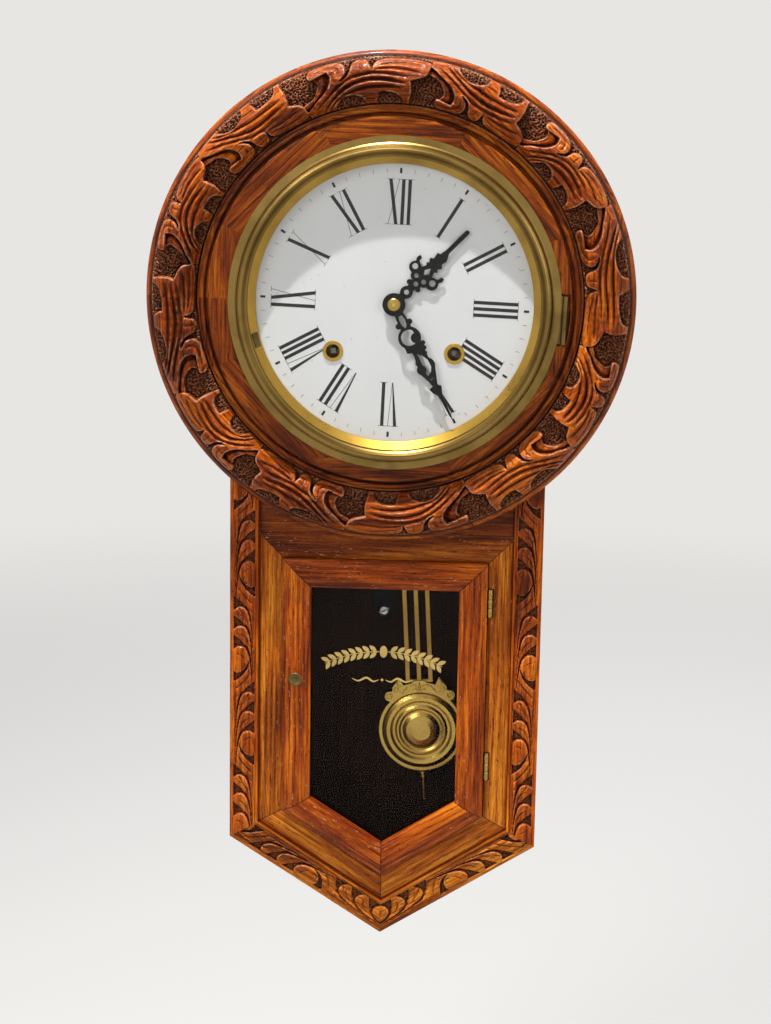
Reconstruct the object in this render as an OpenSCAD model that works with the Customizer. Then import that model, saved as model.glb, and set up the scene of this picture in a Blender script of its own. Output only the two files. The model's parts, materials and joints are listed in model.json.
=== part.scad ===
// Round-headed carved wall clock with a striking movement and a glazed pendulum door.
// The wall is the plane y = 0, the clock faces -Y and +Z is up. The origin lies on the
// wall behind the centre of the round wooden head. Depths are distances from the wall.

/* [Case] */
// Width over the two side boards
case_w = 275; // [260:1:290]
// Depth from the wall to the front face of the case
case_depth = 95; // [92:1:105]
// Thickness of the side, top and bottom boards
board_t = 12; // [9:0.5:14]
// Thickness of the back board
back_t = 8; // [7:0.5:9]
// Thickness of the front boards and the face frame
front_t = 12; // [11:0.5:13]
// Height of the top board above the head centre
case_top = 150; // [142:1:155]
// Drop from the head centre to the lower side corners
corner_drop = 489; // [470:1:520]
// Slope of the pointed bottom
point_angle = 32.3; // [28:0.1:36]

/* [Face] */
// Width of the carved edge strips
strip_w = 25.4; // [22:0.2:28]
// Height of the carved strips over the face frame
strip_h = 6; // [4:0.5:8]
// Width of the face frame around the door
frame_w = 21.4; // [20:0.2:24]
// Gap from the head ring down to the top edge of the door
door_below = 20.3; // [16:0.1:30]
// Rounding height of the face mouldings
frame_crown = 1; // [0.8:0.1:1.5]
// Height of the mouldings' edges over the flat of the face
frame_step = 0.4; // [0.3:0.1:0.6]

/* [Door] */
// Width of the door rails
door_rail_w = 24.6; // [22:0.2:27]
// Thickness of the door rails at their edges
door_t = 17.5; // [15:0.5:19]
// Rounding height of the door rails
door_crown = 3.5; // [2:0.5:4.5]
// Gap all round the door
door_gap = 0.7; // [0.5:0.1:1]
// Thickness of the door glass
glass_t = 2.5; // [2:0.5:3]
// Depth of the glass rebate beyond the sight edge
rebate_w = 6; // [4:0.5:8]
// Radius of the knob head
knob_r = 6; // [5:0.5:8]
// Height of the knob below the head centre
knob_drop = 337; // [320:1:360]

/* [Head ring] */
// Outer radius of the wooden head ring
ring_r = 210; // [205:1:215]
// Radius of the opening in the head ring
ring_bore_r = 129; // [128.5:0.1:130]
// Height of the flat inner band over the case front
band_h = 21.5; // [21:0.5:24]
// Outer radius of the flat inner band
band_r = 155; // [153:0.5:157]
// Height of the carved roll over the case front
roll_h = 29.5; // [26:0.5:33]

/* [Dial and bezel] */
// Sideways offset of the dial and movement
dial_dx = 4.5; // [0:0.1:4.6]
// Vertical offset of the dial and movement
dial_dz = -2.1; // [-3:0.1:0]
// Clockwise turn of the dial in the case
dial_turn = 2; // [0:0.5:3]
// Radius of the dial pan
pan_r = 122.8; // [122:0.2:123.2]
// Thickness of the dial sheet
dial_t = 1.2; // [0.8:0.1:1.5]
// Height of the dial face over the case front
dial_h = 17.2; // [16.8:0.1:17.6]
// Outer radius of the bezel flange
bezel_r = 142; // [140:0.5:144]
// Height of the bezel rim over its seat
rim_h = 10.2; // [9:0.2:12]
// Thickness of the bezel glass
bezel_glass_t = 2; // [1.6:0.1:2.4]
// Visible radius of the dial inside the sight ring
sight_r = 118.6; // [117:0.2:120]

/* [Hands] */
// Length of the minute hand
minute_len = 111.4; // [104:0.2:114]
// Length of the hour hand
hour_len = 88.6; // [84:0.2:92]
// Thickness of the hands
hand_t = 0.9; // [0.6:0.1:1.1]
// Hour shown
shown_hour = 1; // [0:1:11]
// Minute shown
shown_minute = 25; // [0:1:59]

/* [Movement] */
// Depth from the wall to the back plate
plate_back = 39; // [38:0.5:39.5]
// Thickness of the movement plates
plate_t = 2; // [1.6:0.1:2.4]
// Space between the movement plates
plate_gap = 38; // [37:0.5:38.5]
// Distance of the winding arbors from the centre line
wind_x = 52; // [51:0.5:53]
// Drop of the winding arbors below the hands
wind_drop = 41.5; // [41:0.5:43]
// Outer radius of the mainsprings
spring_r = 26; // [22:0.5:27]
// Radial running clearance of pivots
pivot_gap = 0.05; // [0.02:0.01:0.09]

/* [Pendulum and gong] */
// Depth from the wall to the pendulum rod
pend_y = 30; // [29:0.5:30.5]
// Height of the suspension above the hands
pivot_up = 62; // [60:0.5:64]
// Length from the suspension to the bob centre
pend_len = 464.6; // [450:0.2:470]
// Angle at which the pendulum is caught
pend_angle = 3.3; // [2:0.1:4]
// Radius of the bob
bob_r = 39.7; // [36:0.5:42]
// Radius of the pendulum rod
rod_r = 1.2; // [1:0.1:1.3]
// Radius of the outer turn of the gong
gong_r = 52; // [46:0.5:52.5]
// Number of turns of the gong
gong_turns = 4; // [2:1:5]

/* [Hidden] */

door_top = ring_r + door_below;
$fn = 64;

oak = "#8a4a1c";
oak_dark = "#6d3413";
brass = "#c9a24a";
steel = "#9a9ea3";
iron = "#2b2b2d";
paint = "#e4e3e0";
clear = "#9fb8b8";

half_w = case_w / 2;
front_back = case_depth - front_t;
tan_p = tan(point_angle);
sec_p = 1 / cos(point_angle);

corner_mid = -corner_drop - case_w / 4;
// A pointed frame line lies at an inset from the case outline.
function line_w(inset) = half_w - inset;
function line_corner(inset) = -corner_drop + inset * (sec_p - tan_p);
function line_tip(inset) = line_corner(inset) - line_w(inset) * tan_p;

door_inset = strip_w + frame_w + door_gap;
sight_inset = door_inset + door_rail_w;
rebate_inset = sight_inset - rebate_w;
function line_top(inset) = -door_top + door_inset - inset;
function pent(inset) = [
    [-line_w(inset), line_top(inset)], [line_w(inset), line_top(inset)],
    [line_w(inset), line_corner(inset)], [0, line_tip(inset)],
    [-line_w(inset), line_corner(inset)]
];

// Solids between two depths, from an outline in x and z.
module slab(from, to) {
    translate([0, -from, 0])
        rotate([90, 0, 0])
            linear_extrude(to - from)
                children();
}

// A closed outline, always drawn counterclockwise so that unions join.
function area2(p) = [for (i = [0:len(p) - 1])
    cross(p[i], p[(i + 1) % len(p)])] * [for (q = p) 1];
module patch(p) {
    polygon(area2(p) > 0 ? p : [for (i = [len(p) - 1:-1:0]) p[i]]);
}

// Cuts the two halves of a mirrored pair apart along a fine joint.
joint = 0.1;
module halved() {
    difference() {
        children();
        translate([0, -case_depth, corner_mid])
            cube([joint, 2 * case_depth, case_w], center = true);
    }
}

// Solids turned about the Y axis, from an outline in radius and height.
module turned(from) {
    translate([0, -from, 0])
        rotate([90, 0, 0])
            rotate_extrude()
                children();
}

module at_dial() {
    translate([dial_dx, 0, dial_dz])
        children();
}

module place(p) {
    translate([p[0], 0, p[1]])
        children();
}

module mirrored() {
    children();
    mirror([1, 0, 0])
        children();
}

// Back board and carcase

module outline(inset, top) {
    polygon([
        [-line_w(inset), top], [line_w(inset), top], [line_w(inset), line_corner(inset)],
        [0, line_tip(inset)], [-line_w(inset), line_corner(inset)]
    ]);
}

hanger_z = 112;
hanger_w = 34;
hanger_l = 56;
hanger_t = 2;
hole_r = 5;
slot_r = 2.5;
slot_up = 13;
hanger_screw_z = 23.5;
countersink_r = 3;
wood_screw_r = 1.6;
gong_x = -6;
gong_foot_z = -296;
gong_screw_r = 2;

module keyhole(r) {
    circle(r);
    translate([-r * slot_r / hole_r, 0])
        square([2 * r * slot_r / hole_r, slot_up]);
    translate([0, slot_up])
        circle(r * slot_r / hole_r);
}

module back_board() {
    color(oak_dark)
        difference() {
            slab(0, back_t)
                outline(0, case_top);
            translate([0, 0, hanger_z])
                slab(-1, hanger_t)
                    square([hanger_w, hanger_l], center = true);
            translate([0, 0, hanger_z])
                slab(0, back_t - 1.5)
                    translate([-9, -8])
                        square([18, 28]);
            for (s = [-1, 1])
                translate([0, 0, hanger_z + s * hanger_screw_z])
                    slab(0, back_t - 1)
                        circle(wood_screw_r);
            place([gong_x, gong_foot_z])
                slab(1, back_t + 1)
                    circle(gong_screw_r);
        }
}

module side_boards() {
    color(oak)
        mirrored()
            slab(back_t, front_back)
                polygon([
                    [half_w - board_t, case_top - board_t], [half_w, case_top - board_t],
                    [half_w, line_corner(0)], [half_w - board_t, line_corner(board_t)]
                ]);
}

module end_boards() {
    color(oak) {
        slab(back_t, front_back)
            translate([-half_w, case_top - board_t])
                square([case_w, board_t]);
        halved()
            mirrored()
                slab(back_t, front_back)
                    polygon(low_quad(0, board_t));
    }
}

// Face frame: mitred mouldings with a rounded front

rail_top = -150;
board_hole_r = 112;

module head_board() {
    color(oak)
        difference() {
            slab(front_back, case_depth)
                translate([-half_w, rail_top])
                    square([case_w, case_top - rail_top]);
            at_dial()
                slab(front_back - 1, case_depth + 1)
                    circle(board_hole_r);
            at_dial()
                dial_screw_places()
                    slab(front_back + 4, case_depth + 1)
                        circle(dial_screw_r);
        }
}

// A long moulding centred on a point, with its front rounded by a crown.
module moulding(c, ang, w, from, to, crown) {
    r = (w * w / 4 + crown * crown) / (2 * crown);
    translate([c[0], -from, c[1]])
        rotate([90, -ang, 0])
            rotate([90, 0, 90])
                linear_extrude(3 * case_w, center = true)
                    intersection() {
                        translate([-w / 2, 0])
                            square([w, to - from + crown]);
                        translate([0, to - from + crown - r])
                            circle(r);
                    }
}

module mitred(quad, ang, w, from, to, crown) {
    c = (quad[0] + quad[1] + quad[2] + quad[3]) / 4;
    intersection() {
        slab(from - 1, to + crown + 1)
            polygon(quad);
        moulding(c, ang, w, from, to, crown);
    }
}

function side_quad(a, b) = [
    [line_w(a), line_top(max(a, strip_w))], [line_w(a), line_corner(a)],
    [line_w(b), line_corner(b)], [line_w(b), line_top(b)]
];
function low_quad(a, b) = [
    [line_w(a), line_corner(a)], [0, line_tip(a)],
    [0, line_tip(b)], [line_w(b), line_corner(b)]
];
function top_quad(a, b) = [
    [-line_w(a), line_top(a)], [line_w(a), line_top(a)],
    [line_w(b), line_top(b)], [-line_w(b), line_top(b)]
];
frame_in = strip_w + frame_w;

module frame_top_rail() {
    color(oak) {
        slab(front_back, case_depth)
            translate([-half_w, line_top(strip_w)])
                square([case_w, rail_top - line_top(strip_w)]);
        mitred(top_quad(strip_w, frame_in), 0, frame_w,
            front_back, case_depth + frame_step, frame_crown);
    }
}

module frame_stile() {
    slab(front_back, case_depth)
        patch(side_quad(0, strip_w));
    mitred(side_quad(strip_w, frame_in), 90, frame_w,
        front_back, case_depth + frame_step, frame_crown);
}

module frame_stiles() {
    color(oak) {
        difference() {
            frame_stile();
            hinge_recesses();
        }
        mirror([1, 0, 0])
            frame_stile();
    }
}

module frame_bottom_rails() {
    color(oak)
        halved()
            mirrored() {
                slab(front_back, case_depth)
                    polygon(low_quad(0, strip_w));
                mitred(low_quad(strip_w, frame_in), point_angle, frame_w,
                    front_back, case_depth + frame_step, frame_crown);
            }
}

// Carved strips: a plain border carries the rounded bed of the carving

strip_border = 4;
strip_crown = 2;

module strip(a, b, quad, border, ang) {
    slab(case_depth, case_depth + strip_h - strip_crown)
        polygon(quad);
    mitred(border, ang, b - a - 2 * strip_border, case_depth + strip_h - strip_crown,
        case_depth + strip_h - strip_crown, strip_crown);
}

module side_carved_strips() {
    a = 0;
    b = strip_w;
    i = strip_border;
    color(oak_dark)
        mirrored()
            difference() {
                strip(a, b, [
                    [line_w(a), rail_top], [line_w(a), line_corner(a)],
                    [line_w(b), line_corner(b)], [line_w(b), rail_top]
                ], [
                    [line_w(a + i), rail_top], [line_w(a + i), line_corner(a + i)],
                    [line_w(b - i), line_corner(b - i)], [line_w(b - i), rail_top]
                ], 90);
                slab(case_depth - 1, case_depth + strip_h + 1)
                    circle(ring_r + 0.3);
            }
}

module bottom_carved_strips() {
    i = strip_border;
    color(oak_dark)
        halved()
            mirrored()
                strip(0, strip_w, low_quad(0, strip_w), low_quad(i, strip_w - i), point_angle);
}

// Head ring

roll_in = band_r + 11;
roll_out = ring_r - 5.5;
roll_mid = (roll_in + roll_out) / 2;
roll_half = (roll_out - roll_in) / 2;
roll_foot = 10.5;
bead_r = 2.6;
hinge_len = 41;
hinge_z = -5;
knuckle_r = 2.3;
seat_gap = 0.3;
bezel_seat = case_depth + band_h + seat_gap;
mortise_in = 10.4;
mortise_t = 2;
bezel_pin_x = bezel_r + 2.8;
bezel_pin_d = bezel_seat + 2.7;

module head_ring() {
    color(oak_dark)
        difference() {
            turned(case_depth)
                union() {
                    polygon(concat(
                        [
                            [ring_bore_r - 8, 0], [ring_r - 4, 0], [ring_r, 3.5],
                            [ring_r, 7], [ring_r - 2.5, 9]
                        ],
                        [for (t = [0:15:165])
                            [roll_mid + roll_half * cos(t),
                             roll_foot + (roll_h - roll_foot) * sin(t)]],
                        [
                            [roll_in - 1.5, 14.5], [band_r + 1.5, 14.5],
                            [band_r + 1, band_h - 3], [band_r, band_h],
                            [ring_bore_r - 8, band_h]
                        ]
                    ));
                    translate([(band_r + roll_in) / 2, 14.5])
                        circle(bead_r);
                }
            at_dial()
                slab(case_depth - 1, case_depth + band_h + 1)
                    circle(ring_bore_r);
            at_dial()
                bezel_place()
                    translate([bezel_pin_x - mortise_in, 0, 0])
                        slab(case_depth + band_h - mortise_t, case_depth + band_h + 1)
                            translate([0, hinge_z - hinge_len / 2 - 1])
                                square([mortise_in + knuckle_r + 0.7, hinge_len + 2]);
        }
}

// Dial pan with its winding holes

dial_screw_r = 1.2;
pan_flange_r = 128.6;
pan_hole_r = 5.2;
grommet_hole_r = 7.6;

module bezel_place() {
    rotate([0, dial_turn, 0])
        children();
}

module dial_screw_places() {
    for (a = [45:90:315])
        rotate([0, a, 0])
            translate([(pan_r + pan_flange_r) / 2, 0, 0])
                children();
}

module dial_pan() {
    dial_face = case_depth + dial_h;
    color(paint)
        at_dial()
            difference() {
                turned(case_depth)
                    polygon([
                        [0, dial_h - dial_t], [pan_r - dial_t, dial_h - dial_t],
                        [pan_r - dial_t, 0], [pan_flange_r, 0], [pan_flange_r, dial_t],
                        [pan_r, dial_t], [pan_r, dial_h], [0, dial_h]
                    ]);
                slab(case_depth, dial_face + 1)
                    circle(pan_hole_r);
                for (s = [-1, 1])
                    place([s * wind_x, -wind_drop])
                        slab(case_depth, dial_face + 1)
                            circle(grommet_hole_r);
                dial_screw_places()
                    slab(case_depth - 1, case_depth + dial_t + 1)
                        circle(dial_screw_r);
            }
}

module winding_grommets() {
    rim_r = 8.9;
    rim_t = 0.8;
    eye_r = 6;
    color(brass)
        at_dial()
            for (s = [-1, 1])
                place([s * wind_x, -wind_drop])
                    turned(case_depth + dial_h - dial_t - rim_t)
                        polygon([
                            [eye_r, 0], [grommet_hole_r - 0.05, 0],
                            [grommet_hole_r - 0.05, dial_t + rim_t],
                            [rim_r, dial_t + rim_t], [rim_r - 0.4, dial_t + 2 * rim_t],
                            [eye_r, dial_t + 2 * rim_t]
                        ]);
}

module hanger_plate() {
    color(steel)
        translate([0, 0, hanger_z])
            difference() {
                slab(0, hanger_t)
                    square([hanger_w - 0.4, hanger_l - 0.4], center = true);
                slab(-1, hanger_t + 1)
                    keyhole(hole_r);
                for (s = [-1, 1])
                    translate([0, 0, s * hanger_screw_z])
                        slab(-1, hanger_t + 1)
                            circle(countersink_r);
            }
}

module slotted_screw(head_r, head_h, shank_r, shank_l) {
    difference() {
        turned(0)
            polygon([
                [0, -shank_l], [shank_r, -shank_l], [shank_r, 0], [head_r, 0],
                [head_r, head_h * 0.4], [head_r * 0.7, head_h * 0.85],
                [head_r * 0.3, head_h], [0, head_h]
            ]);
        slab(head_h * 0.5, head_h + 1)
            rotate(28)
                square([2 * head_r + 1, head_r * 0.24], center = true);
    }
}

gong_bed_t = 5;

module case_screws() {
    color(steel) {
        for (s = [-1, 1])
            translate([0, 0, hanger_z + s * hanger_screw_z])
                turned(0)
                    polygon([
                        [0, 0], [countersink_r, 0], [countersink_r, hanger_t],
                        [wood_screw_r, hanger_t], [wood_screw_r, back_t - 1], [0, back_t - 1]
                    ]);
        place([gong_x, gong_foot_z])
            translate([0, -back_t - gong_bed_t, 0])
                slotted_screw(5.1, 3, gong_screw_r, gong_bed_t + back_t - 1);
        at_dial()
            dial_screw_places()
                translate([0, -case_depth - dial_t, 0])
                    slotted_screw(2.3, 1.3, dial_screw_r, front_t - 4 + dial_t);
    }
}

// Door

door_back = front_back;
door_front = door_back + door_t;
glass_back = door_front - 8;

module door_piece(quad, ang) {
    difference() {
        mitred(quad, ang, door_rail_w, door_back, door_front, door_crown);
        slab(door_back - 1, glass_back + glass_t)
            polygon(pent(rebate_inset));
    }
}

module door_top_rail() {
    color(oak)
        door_piece(top_quad(door_inset, sight_inset), 0);
}

module door_stiles() {
    color(oak) {
        difference() {
            door_piece(side_quad(door_inset, sight_inset), 90);
            hinge_recesses();
        }
        mirror([1, 0, 0])
            difference() {
                door_piece(side_quad(door_inset, sight_inset), 90);
                mirror([1, 0, 0])
                    place([knob_x, -knob_drop])
                        slab(door_front - 6, door_front + door_crown + 1)
                            circle(knob_shank_r);
            }
    }
}

module door_bottom_rails() {
    color(oak)
        halved()
            mirrored()
                door_piece(low_quad(door_inset, sight_inset), point_angle);
}

module door_glass() {
    color(clear, 0.35)
        slab(glass_back, glass_back + glass_t)
            polygon(pent(rebate_inset + 0.5));
}

knob_x = -(line_w(door_inset) - door_rail_w / 2);
knob_shank_r = 2.2;

module door_knob() {
    color(brass)
        place([knob_x, -knob_drop])
            turned(door_front + door_crown)
                polygon([
                    [0, -9], [knob_shank_r, -9], [knob_shank_r, 0], [knob_r * 0.62, 0],
                    [knob_r * 0.62, 0.8], [knob_shank_r + 0.3, 1.8], [knob_shank_r + 0.3, 3.4],
                    [knob_r * 0.8, 4.4], [knob_r, 5.4], [knob_r, 6.4], [knob_r * 0.88, 7],
                    [knob_r * 0.5, 6.1], [knob_r * 0.24, 6], [knob_r * 0.2, 6.8], [0, 7]
                ]);
}

// Door hinges

door_pin_x = line_w(frame_in) + 1.7;
door_pin_d = case_depth + 2;
door_pin_r = 0.9;
door_knuckle = 8;
hinge_gap = 0.25;
door_hinge_z = [-door_top - 35.4, -415.8];
leaf_t = 1;
leaf_depth = 11;

module upright(h) {
    translate([0, 0, -h / 2])
        linear_extrude(h)
            children();
}

module hinge_recesses() {
    span = 3 * door_knuckle + 2;
    for (z = door_hinge_z)
        translate([0, 0, z])
            upright(span) {
                translate([door_pin_x - 2.8, -door_pin_d - 4])
                    square([5.9, 7]);
                translate([line_w(door_inset) - leaf_t, -door_pin_d - 1])
                    square([2 * leaf_t + door_gap, leaf_depth + 4]);
            }
}

// A leaf stands beside the joint, and a strap joins it to each knuckle.
module hinge_leaf(side, knuckles) {
    leaf_x = side < 0 ? line_w(door_inset) - leaf_t : line_w(frame_in);
    strap_d = door_pin_d - 1.5;
    difference() {
        union() {
            translate([leaf_x, -door_pin_d + 3, 0])
                upright(3 * door_knuckle)
                    square([leaf_t, leaf_depth - 3]);
            for (k = knuckles)
                translate([0, 0, k * door_knuckle])
                    upright(door_knuckle - hinge_gap) {
                        translate([door_pin_x, -door_pin_d])
                            circle(knuckle_r);
                        translate([leaf_x, -strap_d])
                            square([door_pin_x - leaf_x, leaf_t]);
                        translate([leaf_x, -strap_d])
                            square([leaf_t, strap_d - door_pin_d + 3.1]);
                    }
        }
        translate([door_pin_x, -door_pin_d, 0])
            cylinder(r = door_pin_r + pivot_gap, h = 4 * door_knuckle, center = true);
    }
}

module door_hinge_leaves() {
    color(brass)
        for (z = door_hinge_z)
            translate([0, 0, z])
                hinge_leaf(-1, [0]);
}

module frame_hinge_leaves() {
    color(brass)
        for (z = door_hinge_z)
            translate([0, 0, z]) {
                hinge_leaf(1, [-1, 1]);
                translate([door_pin_x, -door_pin_d, 0])
                    cylinder(r = door_pin_r, h = 3 * door_knuckle + 0.6, center = true);
            }
}

// Bezel: spun rim, glass, sight ring and side hinge

glass_seat_h = 5;
rim_in = 124.8;
glass_r = rim_in + 3;
rim_wall_r = rim_in + 1.6;

module bezel_ring() {
    g = glass_seat_h;
    t = bezel_glass_t;
    color(brass)
        at_dial()
            turned(bezel_seat)
                polygon([
                    [rim_wall_r, 0], [bezel_r, 0], [bezel_r, 1.3], [bezel_r - 5.6, 2.3],
                    [bezel_r - 6.8, 3.2], [bezel_r - 7.4, rim_h - 3.6],
                    [bezel_r - 8.8, rim_h - 1.2], [bezel_r - 11, rim_h],
                    [bezel_r - 13.2, rim_h - 0.2], [rim_in + 2.2, rim_h - 1.6],
                    [rim_in + 0.8, g + t + 0.3], [rim_in, g + t + 0.2], [rim_in, g + t],
                    [glass_r + 0.2, g + t], [glass_r + 0.2, g], [rim_wall_r, g]
                ]);
}

module bezel_glass() {
    color(clear, 0.35)
        at_dial()
            slab(bezel_seat + glass_seat_h, bezel_seat + glass_seat_h + bezel_glass_t)
                circle(glass_r);
}

sight_back = -3.9;

module sight_ring() {
    g = glass_seat_h;
    color(brass)
        at_dial()
            turned(bezel_seat)
                polygon([
                    [sight_r, sight_back], [sight_r + 1, sight_back],
                    [rim_wall_r - 1.2, g - 1.2], [rim_wall_r, g - 1.2],
                    [rim_wall_r, g - 0.1], [rim_in - 0.2, g - 0.1],
                    [sight_r, sight_back + 0.8]
                ]);
}

clip_angle = 195.6;
function slope_r(f) = sight_r + f * (rim_in - 0.2 - sight_r);
function slope_h(f) = sight_back + 0.8 + f * (glass_seat_h - 0.9 - sight_back);

module glass_clip() {
    color(iron)
        at_dial()
            translate([0, -bezel_seat, 0])
                rotate([90, 0, 0])
                    rotate_extrude(start = clip_angle - 3, angle = 6)
                        polygon([
                            [slope_r(0.25), slope_h(0.25)], [slope_r(0.9), slope_h(0.9)],
                            [slope_r(0.9) - 0.8, slope_h(0.9) + 0.4],
                            [slope_r(0.25) - 0.8, slope_h(0.25) + 0.4]
                        ]);
}

bezel_knuckle = hinge_len / 3;
bezel_pin_r = 0.9;
strap_in = 10;

module bezel_hinge_part(knuckles, from, to) {
    difference() {
        union() {
            translate([bezel_pin_x - strap_in, 0, 0])
                slab(from, to)
                    translate([0, hinge_z - hinge_len / 2])
                        square([strap_in - 2.8, hinge_len]);
            for (k = knuckles)
                translate([0, 0, hinge_z + k * bezel_knuckle])
                    upright(bezel_knuckle - hinge_gap) {
                        translate([bezel_pin_x, -bezel_pin_d])
                            circle(knuckle_r);
                        translate([bezel_pin_x - 3, -to])
                            square([3, to - from]);
                        translate([bezel_pin_x - 1, -bezel_pin_d])
                            square([1, bezel_pin_d - from]);
                    }
        }
        translate([bezel_pin_x, -bezel_pin_d, hinge_z])
            cylinder(r = bezel_pin_r + pivot_gap, h = 2 * hinge_len, center = true);
    }
}

module bezel_hinge_strap() {
    color(brass)
        at_dial()
            bezel_place()
                bezel_hinge_part([-1, 1], bezel_seat - 0.9, bezel_seat);
}

module bezel_hinge_plate() {
    color(brass)
        at_dial()
            bezel_place() {
                bezel_hinge_part([0], bezel_seat - 2.3, bezel_seat - 1.3);
                translate([bezel_pin_x, -bezel_pin_d, hinge_z])
                    cylinder(r = bezel_pin_r, h = hinge_len + 0.6, center = true);
            }
}

// Movement: two plates carry every arbor of the going and striking trains

plate_front = plate_back + plate_t + plate_gap;
gap_back = plate_back + plate_t;
end_shake = 0.3;
pivot_r = 0.8;
arbor_r = 1.5;
wind_r = 3;
wind_back_r = 2;

great_m = 0.9;
great_n = 72;
second_leaves = 12;
second_n = 60;
centre_leaves = 10;
centre_m = 0.7;
centre_n = 64;
third_leaves = 8;
third_m = 0.6;
third_n = 63;
escape_leaves = 8;
escape_n = 42;
escape_r = 18;
pin_m = 0.8;
pin_n = 60;
warning_leaves = 10;
warning_m = 0.6;
warning_n = 56;
fly_leaves = 8;
motion_m = 0.8;
cannon_n = 10;
minute_n = 30;
minute_leaves = 8;
hour_n = 32;

function mesh(m, a, b) = m * (a + b) / 2;
// The point at given distances from two others, to the left of the line between them.
function meet(p, rp, q, rq) =
    let (d = norm(q - p), a = (rp * rp - rq * rq + d * d) / (2 * d),
         h = sqrt(rp * rp - a * a), u = (q - p) / d)
    p + a * u + h * [-u[1], u[0]];
function bearing(p, q) = atan2(q[1] - p[1], q[0] - p[0]);

centre_at = [0, 0];
great_at = [wind_x, -wind_drop];
second_at = meet(centre_at, mesh(great_m, second_n, centre_leaves),
    great_at, mesh(great_m, great_n, second_leaves));
escape_at = [0, pivot_up - 25];
third_at = meet(escape_at, mesh(third_m, third_n, escape_leaves),
    centre_at, mesh(centre_m, centre_n, third_leaves));
strike_at = [-wind_x, -wind_drop];
pin_at = strike_at + mesh(great_m, great_n, second_leaves) * [cos(75), sin(75)];
warning_at = pin_at + mesh(pin_m, pin_n, warning_leaves) * [cos(60), sin(60)];
fly_at = warning_at + mesh(warning_m, warning_n, fly_leaves) * [cos(110), sin(110)];
minute_at = mesh(motion_m, cannon_n, minute_n) * [cos(225), sin(225)];
anchor_at = [0, pivot_up];
hammer_at = [0, -50];
plain_arbors = [second_at, third_at, escape_at, pin_at, warning_at, fly_at, hammer_at];

// Tooth outlines of a wheel or a pinion, with the first tooth at the bearing turn.
wheel_tooth = [1.2, 1.5, 0.80, 0.68, 0.26];
leaf_tooth = [0.7, 1.65, 0.36, 0.46, 0.24];
module teeth(n, m, form, turn) {
    rp = n * m / 2;
    rows = [[rp - form[1] * m, form[2]], [rp, form[3]], [rp + form[0] * m, form[4]]];
    flank = [for (s = [-1, 1]) for (k = s < 0 ? [0, 1, 2] : [2, 1, 0])
        [rows[k][0], s * rows[k][1] * m / rows[k][0] * 180 / PI]];
    polygon([for (i = [0:n - 1]) for (f = flank)
        f[0] * [cos(turn + i * 360 / n + f[1]), sin(turn + i * 360 / n + f[1])]]);
}

// A spoked wheel sheet.
module wheel(n, m, turn, hub, spokes) {
    rim = n * m / 2 - 1.5 * m - 2.4;
    difference() {
        teeth(n, m, wheel_tooth, turn);
        difference() {
            circle(rim);
            circle(hub);
            for (i = [0:spokes - 1])
                rotate(turn + i * 360 / spokes)
                    translate([0, -1.3])
                        square([rim + 1, 2.6]);
        }
    }
}

module arbor(p, from = gap_back + end_shake, to = plate_front - end_shake) {
    place(p) {
        slab(from, to)
            circle(arbor_r);
        slab(plate_back, plate_front + plate_t)
            circle(pivot_r);
    }
}

module gear_at(p, from, to) {
    place(p)
        slab(from, to)
            children();
}

post_places = [[58, 62], [-58, 62], [58, -68], [-58, -68]];
pillar_places = [[60, 68], [-60, 68], [24, -70], [-24, -70]];
pillar_end_r = 2;
post_screw_r = 1.6;

module plate_outline() {
    difference() {
        translate([-68, -78])
            square([136, 154]);
        for (p = pillar_places)
            translate(p)
                circle(pillar_end_r + pivot_gap);
        for (p = plain_arbors)
            translate(p)
                circle(pivot_r + pivot_gap);
        translate(centre_at)
            circle(arbor_r + pivot_gap);
        translate(anchor_at)
            circle(pivot_r + pivot_gap);
    }
}

module back_plate() {
    color(brass)
        at_dial()
            slab(plate_back, gap_back)
                difference() {
                    plate_outline();
                    for (s = [-1, 1])
                        translate([s * wind_x, -wind_drop])
                            circle(wind_back_r + pivot_gap);
                    for (p = post_places)
                        translate(p)
                            circle(post_screw_r + pivot_gap);
                    translate([-14, -40])
                        square([28, 24]);
                }
}

module front_plate() {
    color(brass)
        at_dial() {
            slab(plate_front, plate_front + plate_t)
                difference() {
                    plate_outline();
                    for (s = [-1, 1])
                        translate([s * wind_x, -wind_drop])
                            circle(wind_r + pivot_gap);
                    translate([12, 44])
                        square([34, 24]);
                }
            gear_at(minute_at, plate_front + plate_t, hour_level + 3.2)
                circle(arbor_r);
        }
}

module plate_pillars() {
    color(brass)
        at_dial()
            for (p = pillar_places)
                place(p) {
                    slab(gap_back, plate_front)
                        circle(3.5);
                    slab(plate_back - 0.5, plate_front + plate_t + 3.4)
                        circle(pillar_end_r);
                    slab(plate_front + plate_t, plate_front + plate_t + 2.6)
                        difference() {
                            circle(4.2, $fn = 6);
                            circle(pillar_end_r);
                        }
                }
}

module movement_posts() {
    color(steel)
        at_dial()
            for (p = post_places)
                place(p) {
                    slab(back_t, back_t + 2)
                        circle(7);
                    slab(back_t, plate_back)
                        circle(3.5);
                    slab(plate_back, gap_back + 2)
                        circle(post_screw_r);
                    slab(gap_back, gap_back + 2)
                        circle(3.2);
                }
}

// Levels of the wheels, as depths from the wall
great_level = gap_back + 3.5;
ratchet_level = great_level + 2.3;
spring_level = ratchet_level + 2.2;
spring_h = 20;
centre_level = gap_back + 14;
third_level = centre_level + 7;
escape_level = great_level + 0.5;
second_level = plate_front - 5;
wheel_t = 1.2;
great_t = 2;
wind_core_r = 6;

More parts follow.
